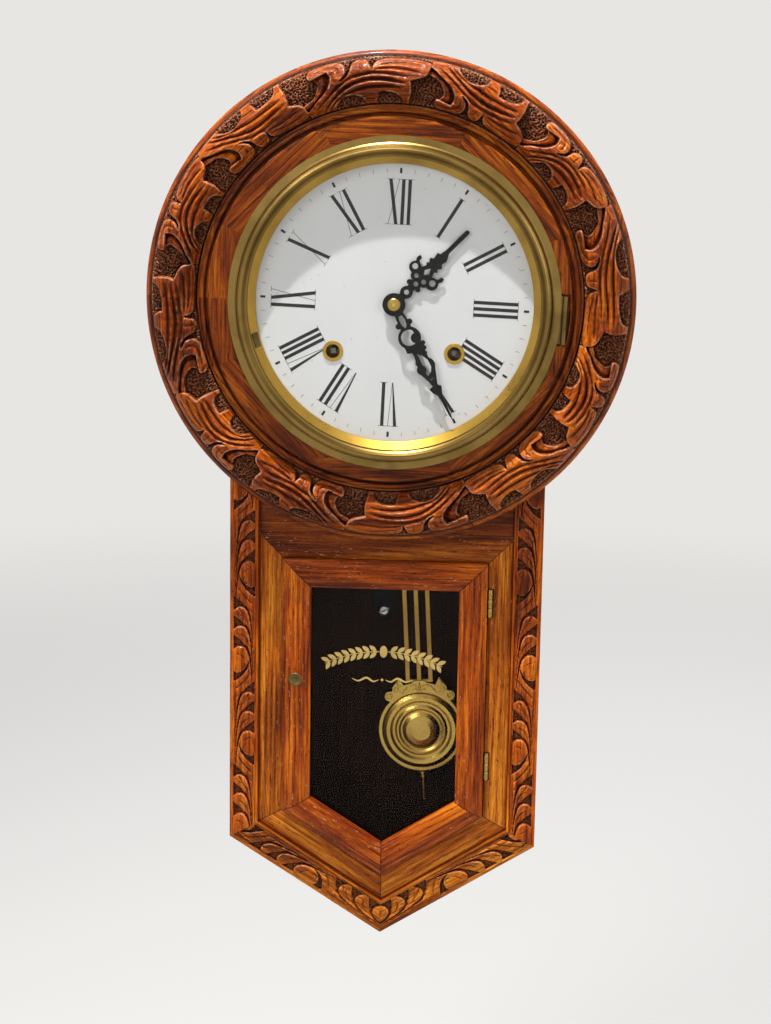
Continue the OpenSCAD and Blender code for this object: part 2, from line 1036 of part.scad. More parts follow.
// A mainspring is one flat spiral band round its arbor.
module mainspring() {
    turns = 7;
    steps = 20;
    band = 0.5;
    r0 = wind_core_r + 0.3;
    n = turns * steps;
    grow = (spring_r - band - r0) / n;
    inner = [for (i = [0:n]) (r0 + i * grow) * [cos(i * 360 / steps), sin(i * 360 / steps)]];
    outer = [for (i = [n:-1:0])
        (r0 + band + i * grow) * [cos(i * 360 / steps), sin(i * 360 / steps)]];
    polygon(concat(inner, outer));
}

module mainsprings() {
    color(steel)
        at_dial()
            for (p = [great_at, strike_at])
                gear_at(p, spring_level, spring_level + spring_h)
                    mainspring();
}

click_r = 9;
module great_wheel(p, turn) {
    gear_at(p, great_level, great_level + great_t)
        difference() {
            wheel(great_n, great_m, turn, 9.5, 4);
            circle(wind_r + pivot_gap);
        }
    gear_at(p, great_level - 2, great_level)
        difference() {
            circle(6);
            circle(wind_r + pivot_gap);
        }
    place(p)
        rotate([0, -turn, 0])
            place([click_r + 3.6, 0])
                slab(great_level + 1, ratchet_level + 1.3) {
                    circle(1.2);
                    rotate(118)
                        translate([0, -1])
                            square([6.5, 1.6]);
                }
}

module winding_arbor(p) {
    square_w = 4.4;
    place(p) {
        slab(plate_back, gap_back + 0.4)
            circle(wind_back_r);
        slab(gap_back + 0.4, plate_front + plate_t + 12)
            circle(wind_r);
        slab(ratchet_level, ratchet_level + 1.3)
            polygon([for (i = [0:17]) each [
                click_r * [cos(i * 20), sin(i * 20)],
                (click_r - 1.4) * [cos(i * 20 + 2), sin(i * 20 + 2)]
            ]]);
        slab(spring_level - 0.4, spring_level + spring_h)
            circle(wind_core_r);
        slab(plate_front + plate_t + 12, case_depth + dial_h - 4)
            square(square_w, center = true);
    }
}

// Each train starts with a tooth of the driving wheel on the line to its pinion,
// which shows it a space.
great_turn = bearing(great_at, second_at);
second_wheel_turn = bearing(second_at, centre_at);
centre_wheel_turn = bearing(centre_at, third_at);
third_wheel_turn = bearing(third_at, escape_at);
strike_turn = bearing(strike_at, pin_at);
pin_turn = bearing(pin_at, warning_at);
warning_turn = bearing(warning_at, fly_at);
motion_turn = bearing(minute_at, centre_at);
function facing(turn, leaves) = turn + 180 + 180 / leaves;

module time_great_wheel() {
    color(brass)
        at_dial()
            great_wheel(great_at, great_turn);
}

module time_winding_arbor() {
    color(steel)
        at_dial()
            winding_arbor(great_at);
}

module strike_great_wheel() {
    color(brass)
        at_dial()
            great_wheel(strike_at, strike_turn);
}

module strike_winding_arbor() {
    color(steel)
        at_dial()
            winding_arbor(strike_at);
}

module pinion_wheel(p, leaves, lm, lturn, lfrom, lto, n, m, wturn, level, hub) {
    arbor(p);
    gear_at(p, lfrom, lto)
        teeth(leaves, lm, leaf_tooth, lturn);
    gear_at(p, level, level + wheel_t)
        wheel(n, m, wturn, hub, 4);
    gear_at(p, level - 1.2, level + wheel_t + 1.2)
        circle(arbor_r + 1.4);
}

module second_arbor() {
    color(brass)
        at_dial()
            pinion_wheel(second_at, second_leaves, great_m, facing(great_turn, second_leaves),
                great_level - 1, great_level + great_t + 1,
                second_n, great_m, second_wheel_turn, second_level, 6);
}

module centre_arbor() {
    color(brass)
        at_dial() {
            gear_at(centre_at, plate_back, plate_front + plate_t + 1)
                circle(arbor_r);
            gear_at(centre_at, plate_front + plate_t, hand_level + 3.4)
                circle(arbor_r - 0.1);
            gear_at(centre_at, second_level - 1.5, second_level + wheel_t + 1.5)
                teeth(centre_leaves, great_m, leaf_tooth, facing(second_wheel_turn, centre_leaves));
            gear_at(centre_at, centre_level, centre_level + wheel_t)
                wheel(centre_n, centre_m, centre_wheel_turn, 5, 4);
            gear_at(centre_at, centre_level - 1.2, centre_level + wheel_t + 1.2)
                circle(arbor_r + 1.4);
        }
}

module third_arbor() {
    color(brass)
        at_dial()
            pinion_wheel(third_at, third_leaves, centre_m, facing(centre_wheel_turn, third_leaves),
                centre_level - 1.6, centre_level + wheel_t + 1.6,
                third_n, third_m, third_wheel_turn, third_level, 5);
}

// Escape wheel: slender forward-leaning teeth on a thin rim.
module escape_arbor() {
    rim = escape_r - 3.4;
    color(brass)
        at_dial() {
            arbor(escape_at);
            gear_at(escape_at, third_level - 1.6, third_level + wheel_t + 1.6)
                teeth(escape_leaves, third_m, leaf_tooth,
                    facing(third_wheel_turn, escape_leaves));
            gear_at(escape_at, escape_level, escape_level + wheel_t)
                difference() {
                    polygon([for (i = [0:escape_n - 1]) each [
                        rim * [cos(i * 360 / escape_n), sin(i * 360 / escape_n)],
                        escape_r * [cos(i * 360 / escape_n - 2), sin(i * 360 / escape_n - 2)],
                        (rim + 0.6) * [cos(i * 360 / escape_n + 2.5),
                                       sin(i * 360 / escape_n + 2.5)]
                    ]]);
                    difference() {
                        circle(rim - 2);
                        circle(4.5);
                        for (a = [0:90:270])
                            rotate(a)
                                translate([0, -1])
                                    square([rim, 2]);
                    }
                }
            gear_at(escape_at, escape_level + wheel_t, escape_level + 3)
                circle(arbor_r + 1.2);
        }
}

// Anchor, its arbor and the crutch that reaches back to the pendulum rod
pallet_clear = 1.5;
crutch_l = 42;

module anchor() {
    span = escape_r + pallet_clear;
    color(steel)
        at_dial()
            place(anchor_at)
                rotate([0, -pend_angle, 0])
                    place(-anchor_at) {
                        place(anchor_at) {
                            slab(gap_back + end_shake, plate_front - end_shake)
                                circle(arbor_r);
                            slab(plate_back - 2.4, plate_front + plate_t)
                                circle(pivot_r);
                            slab(plate_back - 2.4, plate_back - 0.6)
                                circle(2.4);
                            slab(plate_back - 2.2, plate_back - 0.8)
                                translate([-1.1, -crutch_l])
                                    square([2.2, crutch_l]);
                            slab(pend_y - 2.5, plate_back - 0.8)
                                for (s = [-1, 1])
                                    translate([s * (rod_r + 0.9), -crutch_l])
                                        square([1.2, 3], center = true);
                            slab(plate_back - 2.2, plate_back - 0.8)
                                translate([0, -crutch_l])
                                    square([2 * rod_r + 3, 3], center = true);
                            slab(escape_level - 0.4, escape_level + wheel_t + 0.4)
                                circle(3.2);
                        }
                        slab(escape_level - 0.4, escape_level + wheel_t + 0.4)
                            for (s = [-1, 1])
                                polygon([
                                    anchor_at + [0, 2.4],
                                    escape_at + [s * 14, 18],
                                    escape_at + (span + 2.4) * [s * sin(50), cos(50)],
                                    escape_at + (span + 0.2) * [s * sin(47), cos(47)],
                                    escape_at + (span + 1) * [s * sin(40), cos(40)],
                                    escape_at + [s * 8.5, 18.5],
                                    anchor_at + [0, -2.4]
                                ]);
                    }
}

// Motion work in front of the front plate
motion_level = plate_front + plate_t + 2;
hour_level = motion_level + 5.5;
hour_hand_level = case_depth + dial_h + 1.4;
hand_level = hour_hand_level + hand_t + 2;
cannon_r = 3;
pipe_r = 4.2;
cannon_nose_r = 2.3;

module cannon_pinion() {
    color(steel)
        at_dial()
            difference() {
                union() {
                    gear_at(centre_at, motion_level, motion_level + 4)
                        teeth(cannon_n, motion_m, leaf_tooth, facing(motion_turn, cannon_n));
                    gear_at(centre_at, motion_level, hand_level)
                        circle(cannon_r - 0.1);
                    gear_at(centre_at, motion_level, hand_level + hand_t)
                        circle(cannon_nose_r);
                }
                gear_at(centre_at, motion_level - 1, hand_level + 4)
                    circle(arbor_r - 0.05);
            }
}

module minute_wheel() {
    color(brass)
        at_dial()
            gear_at(minute_at, motion_level + 0.6, motion_level + 0.6 + wheel_t)
                difference() {
                    teeth(minute_n, motion_m, wheel_tooth, motion_turn);
                    circle(arbor_r + pivot_gap);
                }
    color(brass)
        at_dial()
            gear_at(minute_at, motion_level + 0.6 + wheel_t, hour_level + 2.6)
                difference() {
                    teeth(minute_leaves, motion_m, leaf_tooth,
                        motion_turn + 180 / minute_leaves);
                    circle(arbor_r + pivot_gap);
                }
}

module hour_wheel() {
    color(brass)
        at_dial()
            difference() {
                union() {
                    gear_at(centre_at, hour_level, hour_level + wheel_t)
                        teeth(hour_n, motion_m, wheel_tooth, motion_turn + 180);
                    gear_at(centre_at, hour_level, hour_hand_level + hand_t)
                        circle(pipe_r);
                }
                gear_at(centre_at, hour_level - 1, hour_hand_level + 2)
                    circle(cannon_r);
            }
}

// Pierced serpentine hands, drawn pointing up

module bead(x, y, r) {
    translate([x, y])
        circle(r);
}

module minute_outline() {
    difference() {
        union() {
            bead(0, 0, 9.8);
            patch([[-3.8, 8], [-4.8, 18], [-4.6, 25], [4.6, 25], [4.6, 18], [3.8, 8]]);
            bead(5.1, 18.4, 2.5);
            bead(-5.3, 18.6, 2.5);
            bead(1, 31.3, 9.8);
            patch([
                [8.6, 36], [8.9, 42.6], [5, 44], [4.4, 50], [2, 52],
                [-3, 53], [-6.4, 46], [-8.4, 38]
            ]);
            bead(-7.4, 39.8, 2);
            bead(-6.5, 44.2, 1.9);
            bead(-5.2, 48.4, 1.8);
            bead(-1.2, 59.2, 7.4);
            patch([[4.4, 46], [6.2, 55], [6, 66], [-6, 67], [-6, 50]]);
            bead(5.3, 54, 1.5);
            bead(4.3, 60.6, 4.1);
            patch([[6.6, 64], [3.6, 72], [2.4, 77], [-2.4, 77], [-4.6, 71], [-7, 64]]);
            patch([
                [1.8, 75.5], [2.2, 77.4], [6, 78.4], [4.8, 82.6], [1.6, 87],
                [0.9, 106], [0, minute_len], [-0.9, 106], [-1.5, 88],
                [-2.9, 85], [-4.9, 79.8], [-2.6, 78], [-2.2, 75.5]
            ]);
        }
        patch([
            [-1.8, 11], [-2.6, 15], [-1.8, 20.2], [0.4, 22.6],
            [2, 19.5], [2.3, 14.5], [1.4, 11]
        ]);
        difference() {
            bead(1.2, 31, 7);
            bead(-3.8, 33.7, 4.4);
            patch([[-9, 23], [-4.2, 25], [-4.2, 41], [-9, 41]]);
        }
        difference() {
            patch([
                [1.7, 46.6], [-2, 50], [-4.4, 55], [-4.4, 61.4], [-2.2, 65.4],
                [1.8, 67.6], [2.4, 64], [1.8, 58], [1.6, 52]
            ]);
            bead(4.3, 60.6, 4.1);
        }
        bead(0.2, 71.3, 1.1);
    }
}

module hour_outline() {
    difference() {
        union() {
            bead(0, 0, 9.4);
            bead(0, 14.6, 5.4);
            patch([[-3.4, 6], [-3.4, 21], [3.4, 21], [3.4, 6]]);
            bead(0.6, 25, 4.9);
            bead(-4.6, 22.8, 2.3);
            bead(5.2, 23, 2.2);
            bead(-4.4, 30.6, 4.6);
            bead(4.2, 31, 4.6);
            bead(-10.2, 35.1, 5.2);
            bead(10, 34.9, 5.5);
            for (s = [-1, 1])
                patch([
                    [s * 13, 38.4], [s * 9, 40], [s * 11.4, 41.6],
                    [s * 11.6, 44.6], [s * 14.4, 45.4], [s * 15, 42]
                ]);
            patch([
                [-10, 32], [-4, 27], [4, 27], [10, 32], [5.8, 40], [3.4, 46],
                [-3.4, 46], [-5.8, 40]
            ]);
            patch([
                [-3.4, 42], [-6.2, 44.6], [-4.6, 46.4], [-7, 49.4], [-4.2, 51.4],
                [-5.4, 57], [-2.8, 57.8], [-2.1, 63], [2.1, 63], [2.8, 62],
                [5.4, 57], [4.2, 52.6], [7, 50], [4.6, 47], [6.6, 45.2], [3.4, 42]
            ]);
            patch([[-2, 60], [-1.9, hour_len - 1.9], [1.9, hour_len - 1.9], [2, 60]]);
            bead(0, hour_len - 1.9, 1.9);
        }
        bead(0, 14.8, 2.2);
        bead(0.6, 25.2, 2.1);
        bead(-4.3, 30.6, 2);
        bead(4, 31.2, 2.1);
        bead(-10.6, 35.6, 2.6);
        bead(10, 35.6, 2.8);
        patch([[0, 35.4], [-2.6, 39], [0, 43.4], [2.6, 39]]);
    }
}

minute_angle = shown_minute * 6 + dial_turn;
hour_angle = shown_hour * 30 + shown_minute / 2 + dial_turn;

module minute_hand() {
    color(iron)
        at_dial()
            slab(hand_level, hand_level + hand_t)
                rotate(-minute_angle)
                    difference() {
                        minute_outline();
                        circle(cannon_nose_r);
                    }
}

module hour_hand() {
    color(iron)
        at_dial()
            slab(hour_hand_level, hour_hand_level + hand_t)
                rotate(-hour_angle)
                    difference() {
                        hour_outline();
                        circle(pipe_r);
                    }
}

module hand_nut() {
    color(brass)
        at_dial()
            turned(hand_level + hand_t)
                polygon([
                    [arbor_r - 0.1, 0], [5.5, 0], [5.5, 0.8], [4.6, 1.7],
                    [3, 2.1], [arbor_r - 0.1, 2.2]
                ]);
}

// Striking train

module pin_wheel() {
    pin_circle = 21.5;
    color(brass)
        at_dial() {
            pinion_wheel(pin_at, second_leaves, great_m, facing(strike_turn, second_leaves),
                great_level - 1, great_level + great_t + 1,
                pin_n, pin_m, pin_turn, second_level, 6);
            for (a = [0:45:315])
                gear_at(pin_at + pin_circle * [cos(a), sin(a)],
                    second_level + 0.2, second_level + wheel_t + 1.8)
                    circle(0.8);
        }
}

module warning_wheel() {
    color(brass)
        at_dial()
            pinion_wheel(warning_at, warning_leaves, pin_m, facing(pin_turn, warning_leaves),
                second_level - 1.5, second_level + wheel_t + 1.5,
                warning_n, warning_m, warning_turn, third_level, 5);
}

module fly() {
    color(brass)
        at_dial() {
            arbor(fly_at);
            gear_at(fly_at, third_level - 1.6, third_level + wheel_t + 1.6)
                teeth(fly_leaves, warning_m, leaf_tooth, facing(warning_turn, fly_leaves));
            gear_at(fly_at, third_level + 4, plate_front - 1.5) {
                rotate(20)
                    square([26, 0.8], center = true);
                circle(2.3);
            }
        }
}

hammer_head = [-29.7, -57.5];
hammer_r = 4.5;
tail_end = [-26.6, 28.2];
gong_level = back_t + gong_bed_t + 1.5;
gong_wire = 1.6;

module strike_hammer() {
    lever = atan2(hammer_head[1], hammer_head[0]);
    reach = norm(hammer_head);
    color(steel)
        at_dial() {
            arbor(hammer_at);
            place(hammer_at) {
                slab(gap_back + end_shake, gap_back + 2) {
                    circle(3);
                    rotate(lever)
                        translate([0, -1.2])
                            square([reach, 2.4]);
                }
                slab(plate_front - 3.4, plate_front - 2.2) {
                    circle(3);
                    rotate(atan2(tail_end[1], tail_end[0]))
                        translate([0, -1.1])
                            square([norm(tail_end), 2.2]);
                }
            }
            place(hammer_at + hammer_head)
                slab(gong_level - 3, gap_back + 2)
                    circle(1.4);
        }
    color(brass)
        at_dial()
            place(hammer_at + hammer_head)
                slab(gong_level - 4, gong_level + 6)
                    circle(hammer_r);
}

// Gong: a cast bracket on the back board holds a flat coil at its centre

gong_z = -165;
gong_boss_r = 9;
gong_in_r = 16;

module gong_bracket() {
    color(iron)
        difference() {
            union() {
                slab(back_t, back_t + gong_bed_t) {
                    polygon([
                        [gong_x - 11, gong_z], [gong_x - 19, gong_z - 62],
                        [gong_x - 7.6, gong_foot_z - 3], [gong_x + 7.6, gong_foot_z - 3],
                        [gong_x + 19, gong_z - 62], [gong_x + 11, gong_z]
                    ]);
                    translate([gong_x, gong_foot_z])
                        circle(8.2);
                    translate([gong_x, gong_z])
                        circle(gong_boss_r + 3);
                }
                place([gong_x, gong_z])
                    slab(back_t + gong_bed_t, gong_level + gong_wire)
                        circle(gong_boss_r);
            }
            place([gong_x, gong_foot_z])
                slab(back_t - 1, back_t + gong_bed_t + 1)
                    circle(gong_screw_r);
        }
}

// The gong is one flat spiral that starts in its block and ends free.
module gong_coil() {
    steps = 36;
    n = gong_turns * steps;
    grow = (gong_r - gong_in_r) / n;
    function spiral(r, i) = (r + i * grow) * [cos(i * 360 / steps), sin(i * 360 / steps)];
    color(steel)
        place([gong_x, gong_z])
            slab(gong_level, gong_level + gong_wire) {
                patch(concat(
                    [for (i = [0:n]) spiral(gong_in_r - gong_wire / 2, i)],
                    [for (i = [n:-1:0]) spiral(gong_in_r + gong_wire / 2, i)]
                ));
                translate([gong_boss_r, -gong_wire / 2])
                    square([gong_in_r - gong_boss_r, gong_wire]);
            }
}

// Pendulum, drawn hanging from its pivot and then swung to where it is caught

module hung() {
    at_dial()
        place(anchor_at)
            rotate([0, -pend_angle, 0])
                children();
}

cock_pin_r = 1.2;
ear_t = 2;
ear_in = 2;

module suspension_cock() {
    color(brass)
        at_dial()
            place(anchor_at)
                difference() {
                    union() {
                        for (s = [-1, 1])
                            slab(pend_y + (s < 0 ? -ear_in - ear_t : ear_in),
                                 pend_y + (s < 0 ? -ear_in : ear_in + ear_t)) {
                                circle(3.4);
                                translate([-3.4, 0])
                                    square([6.8, 10]);
                            }
                        slab(pend_y - ear_in - ear_t, plate_back)
                            translate([-3.4, 6])
                                square([6.8, 5]);
                    }
                    slab(pend_y - 10, pend_y + ear_in + ear_t + 1)
                        circle(cock_pin_r + pivot_gap);
                }
}

module suspension_spring() {
    color(steel)
        hung() {
            slab(pend_y - ear_in - ear_t - 0.6, pend_y + ear_in + ear_t + 0.6)
                circle(cock_pin_r);
            slab(pend_y - 1.7, pend_y + 1.7) {
                translate([-0.2, -14])
                    square([0.4, 14]);
                translate([-2.5, -18])
                    square([5, 5]);
            }
        }
}

rod_end = 68;
module pendulum_rod() {
    color(steel)
        hung()
            translate([0, -pend_y, -pend_len - rod_end])
                cylinder(r = rod_r, h = pend_len + rod_end - 18);
}

strip_gap = 10.4;
grid_low = pend_len - bob_r - 8.9;
grid_top = grid_low - 84;
grid_depth = pend_y + rod_r + 0.1;

module pendulum_strips() {
    color(brass)
        hung()
            difference() {
                union() {
                    slab(grid_depth, grid_depth + 0.7)
                        for (s = [-1, 0, 1])
                            translate([s * strip_gap - 1.8, -grid_low - 3])
                                square([3.6, grid_low - grid_top + 3]);
                    for (z = [grid_top, grid_low + 3])
                        slab(pend_y - 2, grid_depth + 0.7)
                            translate([-strip_gap - 1.8, -z])
                                square([2 * strip_gap + 3.6, 2.4]);
                }
                translate([0, -pend_y, -grid_low - 10])
                    cylinder(r = rod_r, h = 120);
            }
}

bob_back = pend_y - 5;
bob_land = 7.3;
module bob() {
    r = bob_r;
    color(brass)
        hung()
            difference() {
                translate([0, 0, -pend_len])
                    turned(bob_back)
                        polygon([
                            [0, 0], [r - 1.2, 0], [r, 1.4], [r, bob_land - 1],
                            [r - 0.8, bob_land], [r - 3.6, bob_land], [r - 5, bob_land + 1.6],
                            [r - 8, bob_land + 3.2], [r - 11.2, bob_land + 2.6],
                            [r - 13.4, bob_land + 0.6], [r - 15.4, bob_land + 0.4],
                            [r - 17.4, bob_land + 1.8], [r - 19, bob_land + 2],
                            [r - 21, bob_land + 0.8], [r - 22.4, bob_land + 1],
                            [r - 26, bob_land + 3.2], [r - 31, bob_land + 4.8],
                            [r - 36, bob_land + 5.5], [0, bob_land + 5.7]
                        ]);
                translate([0, -pend_y, -pend_len - 2 * r])
                    cylinder(r = rod_r + pivot_gap, h = 4 * r);
            }
}

module bob_crown() {
    color(brass)
        hung()
            place([0, -pend_len])
                slab(bob_back + bob_land, bob_back + bob_land + 2)
                    difference() {
                        union() {
                            intersection() {
                                circle(bob_r + 6);
                                patch([[0, 0], [-60, 62], [60, 62]]);
                            }
                            for (s = [-1, 1]) {
                                bead(s * 27.5, 33, 4.6);
                                bead(s * 20.5, 40, 4.4);
                                patch([
                                    [s * 14, 42], [s * 21, 37], [s * 23.5, 43], [s * 18.4, 50.4]
                                ]);
                            }
                            patch([[-9, 44], [9, 44], [4, 47.4], [-4, 47.4]]);
                        }
                        circle(bob_r - 3.3);
                    }
}

nut_gap = 0.3;
module rating_nut() {
    color(brass)
        hung()
            translate([0, -pend_y, -pend_len - bob_r - nut_gap])
                difference() {
                    union() {
                        translate([0, 0, -1.4])
                            cylinder(r = 4.2, h = 1.4);
                        translate([0, 0, -3])
                            cylinder(r = 2, h = 3);
                        translate([0, 0, -5.4])
                            cylinder(r = 3, h = 2.6);
                    }
                    translate([0, 0, -8])
                        cylinder(r = rod_r + pivot_gap, h = 12);
                }
}

back_board();
side_boards();
end_boards();
head_board();
frame_top_rail();
frame_stiles();
frame_bottom_rails();
side_carved_strips();
bottom_carved_strips();
head_ring();
dial_pan();
winding_grommets();
hanger_plate();
case_screws();
door_top_rail();
door_stiles();
door_bottom_rails();
door_glass();
door_knob();
door_hinge_leaves();
frame_hinge_leaves();
bezel_ring();
bezel_glass();
sight_ring();
glass_clip();
bezel_hinge_strap();
bezel_hinge_plate();
back_plate();
front_plate();
plate_pillars();
movement_posts();
suspension_cock();
mainsprings();
time_great_wheel();
time_winding_arbor();
second_arbor();
centre_arbor();
third_arbor();
escape_arbor();
anchor();
cannon_pinion();
minute_wheel();
hour_wheel();
minute_hand();
hour_hand();
hand_nut();
strike_great_wheel();
strike_winding_arbor();
pin_wheel();
warning_wheel();
fly();
strike_hammer();
gong_bracket();
gong_coil();
suspension_spring();
pendulum_rod();
pendulum_strips();
bob();
bob_crown();
rating_nut();
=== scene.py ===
"""Looks of a carved round-head wall clock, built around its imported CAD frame."""

import json
import math

import bmesh
import bpy
import numpy as np
from mathutils import Matrix, Vector

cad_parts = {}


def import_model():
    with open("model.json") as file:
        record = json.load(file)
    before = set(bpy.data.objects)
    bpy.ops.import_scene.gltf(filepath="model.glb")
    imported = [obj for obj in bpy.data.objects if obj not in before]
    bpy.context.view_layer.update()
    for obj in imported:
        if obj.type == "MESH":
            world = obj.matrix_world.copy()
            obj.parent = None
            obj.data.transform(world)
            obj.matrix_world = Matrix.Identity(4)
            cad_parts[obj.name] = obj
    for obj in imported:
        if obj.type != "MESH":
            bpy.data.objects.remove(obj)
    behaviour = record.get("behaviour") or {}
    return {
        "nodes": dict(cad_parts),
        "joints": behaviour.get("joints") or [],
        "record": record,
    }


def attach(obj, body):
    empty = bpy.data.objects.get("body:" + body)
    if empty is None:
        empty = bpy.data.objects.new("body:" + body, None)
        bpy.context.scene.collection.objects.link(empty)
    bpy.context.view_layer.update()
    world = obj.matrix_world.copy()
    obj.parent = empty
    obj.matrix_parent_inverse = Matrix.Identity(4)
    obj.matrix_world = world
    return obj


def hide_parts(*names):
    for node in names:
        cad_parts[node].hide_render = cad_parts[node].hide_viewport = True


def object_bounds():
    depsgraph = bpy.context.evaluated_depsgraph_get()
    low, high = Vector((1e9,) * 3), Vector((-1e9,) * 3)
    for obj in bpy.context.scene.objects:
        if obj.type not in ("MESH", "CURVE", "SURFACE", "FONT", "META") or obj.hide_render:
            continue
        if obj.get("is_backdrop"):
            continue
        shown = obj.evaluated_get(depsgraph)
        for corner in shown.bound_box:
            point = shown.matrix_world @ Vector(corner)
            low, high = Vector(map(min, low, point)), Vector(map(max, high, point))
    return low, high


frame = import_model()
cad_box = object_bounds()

MM = 0.001
NODES = frame["nodes"]

# Sizes shared with the CAD model, in millimetres. Depth counts forward from the wall.
CASE_DEPTH = 95.0
HALF_W = 137.5
STRIP_W = 25.4
DIAL = (4.5, -2.1)
DIAL_TURN = math.radians(2)
DIAL_FACE = 112.2
RING_BORE = 129.0
SLOPE = math.radians(32.3)
JOINT_FROM = 21.5
JOINT_STEP = 45.0
SEC = 1 / math.cos(SLOPE)
CORNER_Z = -489.0
CORNER_RISE = SEC - math.tan(SLOPE)
TOP_MITRE = 320.3
HEAD_R = 210.0
BAND_OUT = 164.6

# Faces of the case's inside, in metres, each just past the surface of its boards
INNER_HALF, INNER_TOP, INNER_FOOT = 0.1294, 0.1382, 0.0116
INNER_BACK, INNER_FRONT = -0.0079, -0.0949

# Mesh helpers


def world(x, depth, z):
    """Blender coordinates of a point given in the clock's own millimetres."""
    return (x * MM, -depth * MM, z * MM)


def new_piece(name, verts, faces, body, material, smooth=True, sharp=None):
    """A closed mesh with its faces turned outward. sharp is the least angle of a hard edge, in degrees."""
    mesh = bpy.data.meshes.new(name)
    mesh.from_pydata([tuple(v) for v in verts], [], [tuple(f) for f in faces])
    mesh.validate()
    bm = bmesh.new()
    bm.from_mesh(mesh)
    bmesh.ops.recalc_face_normals(bm, faces=bm.faces)
    bm.to_mesh(mesh)
    bm.free()
    mesh.update()
    for face in mesh.polygons:
        face.use_smooth = smooth
    if sharp:
        mesh.set_sharp_from_angle(angle=math.radians(sharp))
    mesh.materials.append(material)
    piece = bpy.data.objects.new(name, mesh)
    bpy.context.scene.collection.objects.link(piece)
    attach(piece, body)
    return piece


def grid_faces(rows, cols, base=0, rows_close=False, cols_close=False):
    """Quads over points listed row by row. What closes joins its last line to its first."""
    faces = []
    for i in range(rows if rows_close else rows - 1):
        a, b = base + i * cols, base + (i + 1) % rows * cols
        for k in range(cols if cols_close else cols - 1):
            m = (k + 1) % cols
            faces.append((a + k, a + m, b + m, b + k))
    return faces


def spline(points, steps=8):
    """A smooth open curve through the points."""
    p = [np.array(q, float) for q in points]
    p = [2 * p[0] - p[1]] + p + [2 * p[-1] - p[-2]]
    out = []
    for i in range(1, len(p) - 2):
        a, b, c, d = p[i - 1], p[i], p[i + 1], p[i + 2]
        for k in range(steps):
            t = k / steps
            low = 2 * b + (c - a) * t + (2 * a - 5 * b + 4 * c - d) * t * t
            out.append(0.5 * (low + (3 * b - a - 3 * c + d) * t**3))
    out.append(p[-2])
    return np.array(out)


def line_distance(x, y, line):
    """Distance of every point to a polyline, and how far along the line it is, from 0 to 1."""
    best = np.full(x.shape, 1e9)
    along = np.zeros(x.shape)
    lengths = np.hypot(*np.diff(line, axis=0).T)
    total, done = lengths.sum(), 0.0
    for (ax, ay), (bx, by), length in zip(line[:-1], line[1:], lengths):
        if length < 1e-9:
            continue
        t = ((x - ax) * (bx - ax) + (y - ay) * (by - ay)) / length**2
        t = np.clip(t, 0, 1)
        d = np.hypot(x - ax - t * (bx - ax), y - ay - t * (by - ay))
        near = d < best
        best = np.where(near, d, best)
        along = np.where(near, (done + t * length) / total, along)
        done += length
    return best, along


def inside(x, y, poly):
    """Whether every point lies in a closed polygon."""
    hit = np.zeros(x.shape, bool)
    for (ax, ay), (bx, by) in zip(poly, np.roll(poly, -1, axis=0)):
        if ay == by:
            continue
        cross = (ay > y) != (by > y)
        hit ^= cross & (x < (bx - ax) * (y - ay) / (by - ay) + ax)
    return hit


def reach_into(x, y, outline):
    """How far inside a closed outline every point lies. Outside it is below zero."""
    reach, _ = line_distance(x, y, np.vstack([outline, outline[:1]]))
    return np.where(inside(x, y, outline), reach, -reach)


def headings(line):
    """Unit direction of a curve at each of its points."""
    ahead = np.gradient(line, axis=0)
    return ahead / np.linalg.norm(ahead, axis=1)[:, None]


def step(t):
    """Smooth step from 0 to 1."""
    t = np.clip(t, 0, 1)
    return t * t * (3 - 2 * t)


def box_blur(field, rows, cols, wrap):
    """Mean over a box of cells. Rows run to the edge value, and columns wrap if told to."""
    mode = "wrap" if wrap else "edge"
    for axis, n, how in ((0, rows, "edge"), (1, cols, mode)):
        pad = [(0, 0), (0, 0)]
        pad[axis] = (n, n)
        big = np.cumsum(np.pad(field, pad, mode=how), axis=axis)
        big = np.insert(big, 0, 0, axis=axis)
        size = 2 * n + 1
        count = field.shape[axis]
        high = np.take(big, range(size, size + count), axis=axis)
        low = np.take(big, range(count), axis=axis)
        field = (high - low) / size
    return field


def ripple(x, y, seed, size):
    """A calm random field between about -1 and 1, made of a few waves."""
    rng = np.random.default_rng(seed)
    out = np.zeros(np.broadcast(x, y).shape)
    for _ in range(7):
        turn = rng.uniform(0, 2 * math.pi)
        pitch = size * rng.uniform(0.6, 1.8)
        phase = rng.uniform(0, 2 * math.pi)
        out += np.sin((x * math.cos(turn) + y * math.sin(turn)) * 2 * math.pi / pitch + phase)
    return out / 3


# Materials


